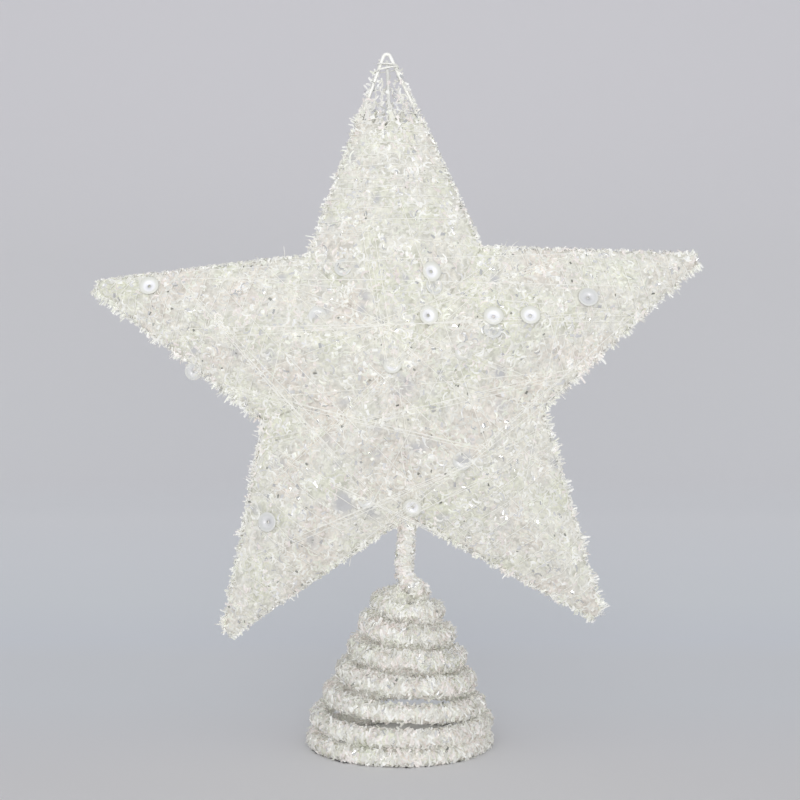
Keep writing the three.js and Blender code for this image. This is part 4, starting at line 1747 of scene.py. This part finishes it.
@dataclass
class TinselCord:
    """A cord of cut film round a wire: a dense heart, and strips that stand out round it."""

    yarn: bpy.types.Material
    films: Sequence[bpy.types.Material]
    heart_radius: float = 3.0 * MM
    root: tuple[float, float] = (2.8 * MM, 3.9 * MM)
    strip_length: tuple[float, float] = (1.4 * MM, 3.0 * MM)
    strip_width: tuple[float, float] = (0.7 * MM, 1.3 * MM)
    strips_per_mm: float = 28
    reach_heights: tuple[float, ...] = (7 * MM, 11 * MM, 18 * MM, 22 * MM, 36 * MM)
    reach: tuple[float, ...] = (1.0, 0.55, 0.55, 1.2, 1.5)  # of strips above and below a turn there
    stray: float = 0.12  # the share of strips that reach across a gap wherever they are
    stray_reach: float = 1.3
    slant: float = 0.75  # how far strips turn from going round the cord to going along it
    roll: float = 15
    pale: float = 0.12
    lump: float = 0.05
    lump_wave: float = 3 * MM
    patch: float = 14 * MM  # how far one patch of green or pink film is from the next
    sides: int = 16
    lift: tuple[float, float] = (3, 37)
    side_lift: float = 0.55  # strips beside the coil lie lower than those above and below it
    steep: float = 0.8  # a cord that rises more steeply than this is a stem
    least_height: float = 0.12 * MM
    under_height: float = 1.4 * MM  # film below this height is packed under the foot and shades the floor
    chip: StripShape = StripShape()
    shares: dict[Cut, float] = field(
        default_factory=lambda: {
            Cut.WHITE: 0.7,
            Cut.GREEN_PEARL: 0.07,
            Cut.PINK_PEARL: 0.16,
            Cut.CLEAR: 0.04,
            Cut.SILVER: 0.026,
            Cut.DARK: 0.004,
        }
    )

    def heart(
        self,
        name: str,
        route: np.ndarray,
        seed: int,
        floor: float | None = None,
    ) -> bpy.types.Object:
        """Makes the cord's heart, a lumpy tube.

        Args:
            name: The piece's name.
            route: The cord's middle.
            seed: The seed of its lumps.
            floor: A height under which nothing reaches.

        Returns:
            The piece.
        """
        swell = 1 + self.lump * ripple(route, self.lump_wave, seed)
        mesh = tube_mesh([route], self.heart_radius, self.sides, [swell])
        for vertex in mesh.vertices:
            vertex.co.z = vertex.co.z if floor is None else max(vertex.co.z, floor)
        return make_piece(name, mesh, [self.yarn], lets_light_through=floor is None)

    def strips(
        self,
        name: str,
        route: np.ndarray,
        seed: int,
        floor: float | None = None,
        under: bool | None = None,
    ) -> bpy.types.Object:
        """Stands the strips out round a route.

        Args:
            name: The piece's name.
            route: The cord's middle.
            seed: The seed of the strips.
            floor: A height under which nothing reaches.
            under: True for only the strips packed under the cord, False for only the others.

        Returns:
            The piece.
        """
        rng = np.random.default_rng(seed)
        steps = np.linalg.norm(np.diff(route, axis=0), axis=1)
        along = np.r_[0, np.cumsum(steps)]
        count = int(along[-1] / MM * self.strips_per_mm)
        at = rng.uniform(0, along[-1], count)
        place = np.stack([np.interp(at, along, route[:, i]) for i in range(3)], 1)
        ways = unit(np.gradient(route, axis=0))
        way = unit(np.stack([np.interp(at, along, ways[:, i]) for i in range(3)], 1))
        reference = np.where(np.abs(way[:, 2:3]) > self.steep, [[1.0, 0, 0]], [[0, 0, 1.0]])
        first = unit(np.cross(way, reference))
        second = np.cross(way, first)
        angle = rng.uniform(0, 2 * math.pi, count)[:, None]
        radial = first * np.cos(angle) + second * np.sin(angle)
        around = np.cross(way, radial)
        heading = around * rng.choice([-1.0, 1.0], count)[:, None]
        heading = heading + way * rng.normal(0, self.slant, count)[:, None]
        upright = np.abs(radial[:, 2])
        lift = rng.uniform(*self.lift, count) * (self.side_lift + (1 - self.side_lift) * upright)
        out = rng.uniform(*self.root, count)
        reach = np.interp(place[:, 2] + radial[:, 2] * out, self.reach_heights, self.reach)
        strays = rng.uniform(0, 1, count) < self.stray
        reach = np.where(strays, self.stray_reach, 1 + (reach - 1) * upright**2)
        length = rng.uniform(*self.strip_length, count) * reach
        width = rng.uniform(*self.strip_width, count)
        out = np.where(reach < 1, self.root[0] + (out - self.root[0]) * reach, out)
        surface = place + radial * out[:, None]
        film = chosen_films(rng, self.shares, surface, self.patch, 78)
        strips = Strips.laid(
            rng, surface, radial, lift, length, width, film, heading, roll_degrees=self.roll, pale=self.pale
        )
        if under is not None:
            strips = strips.picked((surface[:, 2] < self.under_height) == under)
        mesh = strip_mesh([(strips, self.chip)], floor)
        return make_piece(name, mesh, self.films, lets_light_through=not under)


@dataclass
class Coil:
    """The conical coil: its closed end turns stand still, and the turns above work as a spring."""

    shape: CoilShape
    cord: TinselCord
    steel: bpy.types.Material
    wire: float = 2.2 * MM
    sides: int = 8
    bends_from: tuple[float, float, float] = (0.0, 0.0, 14 * MM)
    bends_to: tuple[float, float, float] = (0.0, 0.0, 62 * MM)

    def build(self) -> list[bpy.types.Object]:
        """Makes the foot and the spring, each with its wire, heart and strips."""
        coil = self.shape
        foot = coil.route(0, coil.seam)
        spring = np.vstack([coil.route(coil.seam, coil.turns), coil.neck()])
        base_heart = self.cord.heart("foot_coil_heart", foot, 41, floor=self.cord.least_height)
        base_film = self.cord.strips("foot_coil_film", foot, 42, self.cord.least_height, under=False)
        under_film = self.cord.strips("foot_coil_under_film", foot, 42, self.cord.least_height, under=True)
        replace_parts(base_film, "base_coil_sleeve")
        dress("base_coil_wire", self.steel)
        for piece in (base_heart, base_film, under_film):
            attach(piece, "coil_base")
        heart = self.cord.heart("spring_coil_heart", spring, 43)
        film = self.cord.strips("spring_coil_film", spring, 44)
        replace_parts(film, "spring_coil_sleeve")
        route = spring[2:]  # leaves room beside the end of the foot's wire
        wire = make_piece("spring_steel_wire", tube_mesh([route], self.wire / 2, self.sides), [self.steel])
        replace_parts(wire, "spring_coil_wire")
        for piece in (heart, film, wire):
            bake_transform(piece)
        return [base_heart, base_film, under_film, heart, film, wire]


@dataclass
class Stem:
    """The stem: a straight length of wire in tinsel, bent by hand at its foot and at half its height."""

    star: StarShape
    coil: CoilShape
    cord: TinselCord
    steel: bpy.types.Material
    wire: float = 2.2 * MM
    sides: int = 8
    step: float = 0.8 * MM
    end: float = 0.97  # its tinsel ends just under the notch
    halfway: float = 76 * MM
    foot_bend: tuple[float, float] = (67 * MM, 72 * MM)
    half_bend: tuple[float, float] = (78 * MM, 86 * MM)

    def build(self) -> list[bpy.types.Object]:
        """Makes the lower and the upper half, each with its wire, heart and strips."""
        foot = self.coil.stem_foot
        turn = math.radians(self.star.turn_degrees)
        angle = math.pi / 2 + STEP * len(ARMS) / 2 + turn
        notch = np.array(self.star.centre)
        notch = notch + self.star.notch_radius * np.array([math.cos(angle), 0, math.sin(angle)])
        share = (self.halfway - foot[2]) / (notch[2] - foot[2])
        middle = foot + (notch - foot) * share
        top = foot + (notch - foot) * self.end
        halves = {
            "lower": (foot, middle, "coil_spring", "stem", self.foot_bend),
            "upper": (middle, top, "stem", "star", self.half_bend),
        }
        made = []
        for number, (word, (start, stop, below, above, bend)) in enumerate(halves.items()):
            route = resampled(np.array([start, stop]), self.step)
            wire = tube_mesh([route], self.wire / 2, self.sides)
            pieces = [
                self.cord.heart(f"{word}_stem_heart", route, 51 + number),
                self.cord.strips(f"{word}_stem_film", route, 53 + number),
                make_piece(f"{word}_stem_wire", wire, [self.steel]),
            ]
            for piece, slot in zip(pieces, ("tinsel_sleeve", "tinsel_sleeve", "coil_wire"), strict=True):
                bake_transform(piece)
            made += pieces
        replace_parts(made[0], "stem_sleeve")
        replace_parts(made[2], "stem_wire")
        return made


# Studio


@dataclass
class Studio:
    """A pale sweep under and behind the topper, soft lights, and the camera."""

    camera_place: tuple[float, float, float] = (0.0, -566.6 * MM, 148.5 * MM)
    aim_height: float = 139.7 * MM
    lens: float = 62.76
    sensor: float = 36.0
    far: float = 50.0
    light_colour: str = "FFFFFD"
    room_colour: str = "F2F4F8"
    room_strength: float = 0.6
    sweep_width: float = 8.0
    sweep_front: float = -1.3
    sweep_back: float = 1.1
    sweep_radius: float = 0.7
    sweep_height: float = 3.5
    sweep_steps: int = 24
    # painted light falloff: the paper's tone, from the floor in front of the topper to the wall behind it,
    # stands in for how the light falls over it
    paper: Sequence[tuple[float, str]] = (
        (0.024, "E6E5E6"),
        (0.055, "E7E7E9"),
        (0.09, "E8EAED"),
        (0.14, "E9EBEE"),
        (0.17, "EAEDF2"),
        (0.245, "EFF2F5"),
        (0.353, "F3F5F8"),
        (0.52, "F7F8FA"),
        (0.65, "F5F6F8"),
        (0.71, "F1F1F3"),
        (0.81, "EDEDEF"),
        (0.947, "E9E8EA"),
        (1.0, "EBE9EC"),
    )
    paper_from: float = -0.1
    grain: float = 1.5 * MM

    def sweep(self) -> bpy.types.Object:
        """Rolls paper from the floor up behind the topper."""
        material, tree, shader = new_material("backdrop paper")
        place = add_node(tree, "ShaderNodeTexCoord").outputs["Object"]
        parts = add_node(tree, "ShaderNodeSeparateXYZ", {"Vector": place})
        wall = self.sweep_back + self.sweep_radius
        back = {"Value": parts.outputs["Y"], "From Min": self.paper_from, "From Max": wall}
        depth = add_node(tree, "ShaderNodeMapRange", back)
        # the paper's colour carries a painted falloff of light with depth
        colour = add_node(tree, "ShaderNodeValToRGB", {"Fac": depth.outputs["Result"]})
        set_stops(colour, self.paper)
        fibre = {"Vector": place, "Scale": 1 / self.grain, "Detail": 2.0}
        grain = add_node(tree, "ShaderNodeTexNoise", fibre).outputs["Fac"]
        relief = add_node(tree, "ShaderNodeBump", {"Height": grain, "Strength": 0.1, "Distance": 0.05 * MM})
        look = {
            "Base Color": colour.outputs["Color"],
            "Normal": relief.outputs["Normal"],
            "Roughness": 0.9,
            "Specular IOR Level": 0.1,
        }
        set_inputs(shader, look)
        bm = bmesh.new()
        back, radius = self.sweep_back, self.sweep_radius
        angles = np.linspace(0, math.pi / 2, self.sweep_steps)
        curve = [(back + radius * math.sin(a), radius - radius * math.cos(a)) for a in angles]
        profile = [(self.sweep_front, 0.0), *curve, (back + radius, self.sweep_height)]
        line = [bm.verts.new((-self.sweep_width / 2, y, z)) for y, z in profile]
        edges = [bm.edges.new(pair) for pair in zip(line, line[1:])]
        grown = bmesh.ops.extrude_edge_only(bm, edges=edges)
        moved = [g for g in grown["geom"] if isinstance(g, bmesh.types.BMVert)]
        bmesh.ops.translate(bm, vec=(self.sweep_width, 0, 0), verts=moved)
        bmesh.ops.recalc_face_normals(bm, faces=bm.faces)
        piece = make_piece("backdrop_sweep", smooth_mesh(bm, "sweep"), [material])
        return piece

    def aimed(self, name: str, data: bpy.types.ID, place: Sequence[float]) -> bpy.types.Object:
        """Puts a light or a camera at a place, pointing at the topper.

        Args:
            name: The object's name.
            data: The light or camera.
            place: Where it stands.

        Returns:
            The object that holds it.
        """
        holder = bpy.data.objects.new(name, data)
        holder.location = place
        towards = Vector((0, 0, self.aim_height)) - Vector(place)
        holder.rotation_euler = towards.to_track_quat("-Z", "Y").to_euler()
        bpy.context.scene.collection.objects.link(holder)
        return holder

    def light(self, name: str, place: Sequence[float], size: float, power: float) -> None:
        """Hangs a square soft light.

        Args:
            name: The light's name.
            place: Where it hangs.
            size: The length of its sides.
            power: Its power in watts.
        """
        lamp = bpy.data.lights.new(name, "AREA")
        lamp.size = size
        lamp.energy = power
        lamp.color = linear(self.light_colour)[:3]
        self.aimed(name, lamp, place)

    def camera(self) -> None:
        """Sets up the camera at the photograph's angle."""
        data = bpy.data.cameras.new("camera")
        data.lens = self.lens
        data.sensor_width = self.sensor
        data.clip_end = self.far
        bpy.context.scene.camera = self.aimed("camera", data, self.camera_place)

    def build(self) -> None:
        """Sets the whole stage."""
        self.sweep()
        self.light("front_softbox", (0.0, -2.0, 0.05), size=1.2, power=32.5)
        self.light("high_softbox", (-0.16, -1.95, 1.12), size=1.0, power=3)
        world = bpy.data.worlds.new("studio")
        world.use_nodes = True
        room = {"Color": linear(self.room_colour), "Strength": self.room_strength}
        set_inputs(world.node_tree.nodes["Background"], room)
        bpy.context.scene.world = world
        bpy.context.scene.view_settings.view_transform = "Standard"
        bpy.context.scene.cycles.diffuse_bounces = 8  # white fluff passes light on many times
        self.camera()


def main() -> None:
    """Builds the topper's looks and the studio, and reports each piece."""
    logging.basicConfig(level=logging.INFO, format="%(message)s")
    films = [FILMS[cut].material() for cut in Cut]
    yarn = YarnMat().material()
    thread = Thread().material()
    lacquer = Lacquer().material()
    steel = DrawnSteel().material()
    # the sequins' ring colours hold painted shade round the hole, the web's tone seen through the wall, and
    # a painted rim highlight on the clear ones
    pearl = SequinFilm("pearl sequin film", "D8D8DE", "FAFAFE", "E9E9E3", "E4E4DC", 0.35).material()
    clear = SequinFilm("clear sequin film", "DCDCDA", "DFDFE0", "D8D9D8", "E8E8E4", 0.3).material()
    star = StarShape()
    coil = CoilShape()
    cord = TinselCord(yarn, films)
    pieces = [
        *StarWires(star, lacquer).build(),
        *StarWeb(star, yarn, films, thin_places()).build(),
        *StarThreads(star, thread).build(),
        *StarSequins(star, pearl, clear).build(),
        *Coil(coil, cord, steel).build(),
        *Stem(star, coil, cord, steel).build(),
    ]
    Studio().build()
    for piece in pieces:
        log.info("%s: %d faces", piece.name, len(piece.data.polygons))
    log.info("all pieces: %d faces", sum(len(piece.data.polygons) for piece in pieces))


if __name__ == "__main__":
    main()
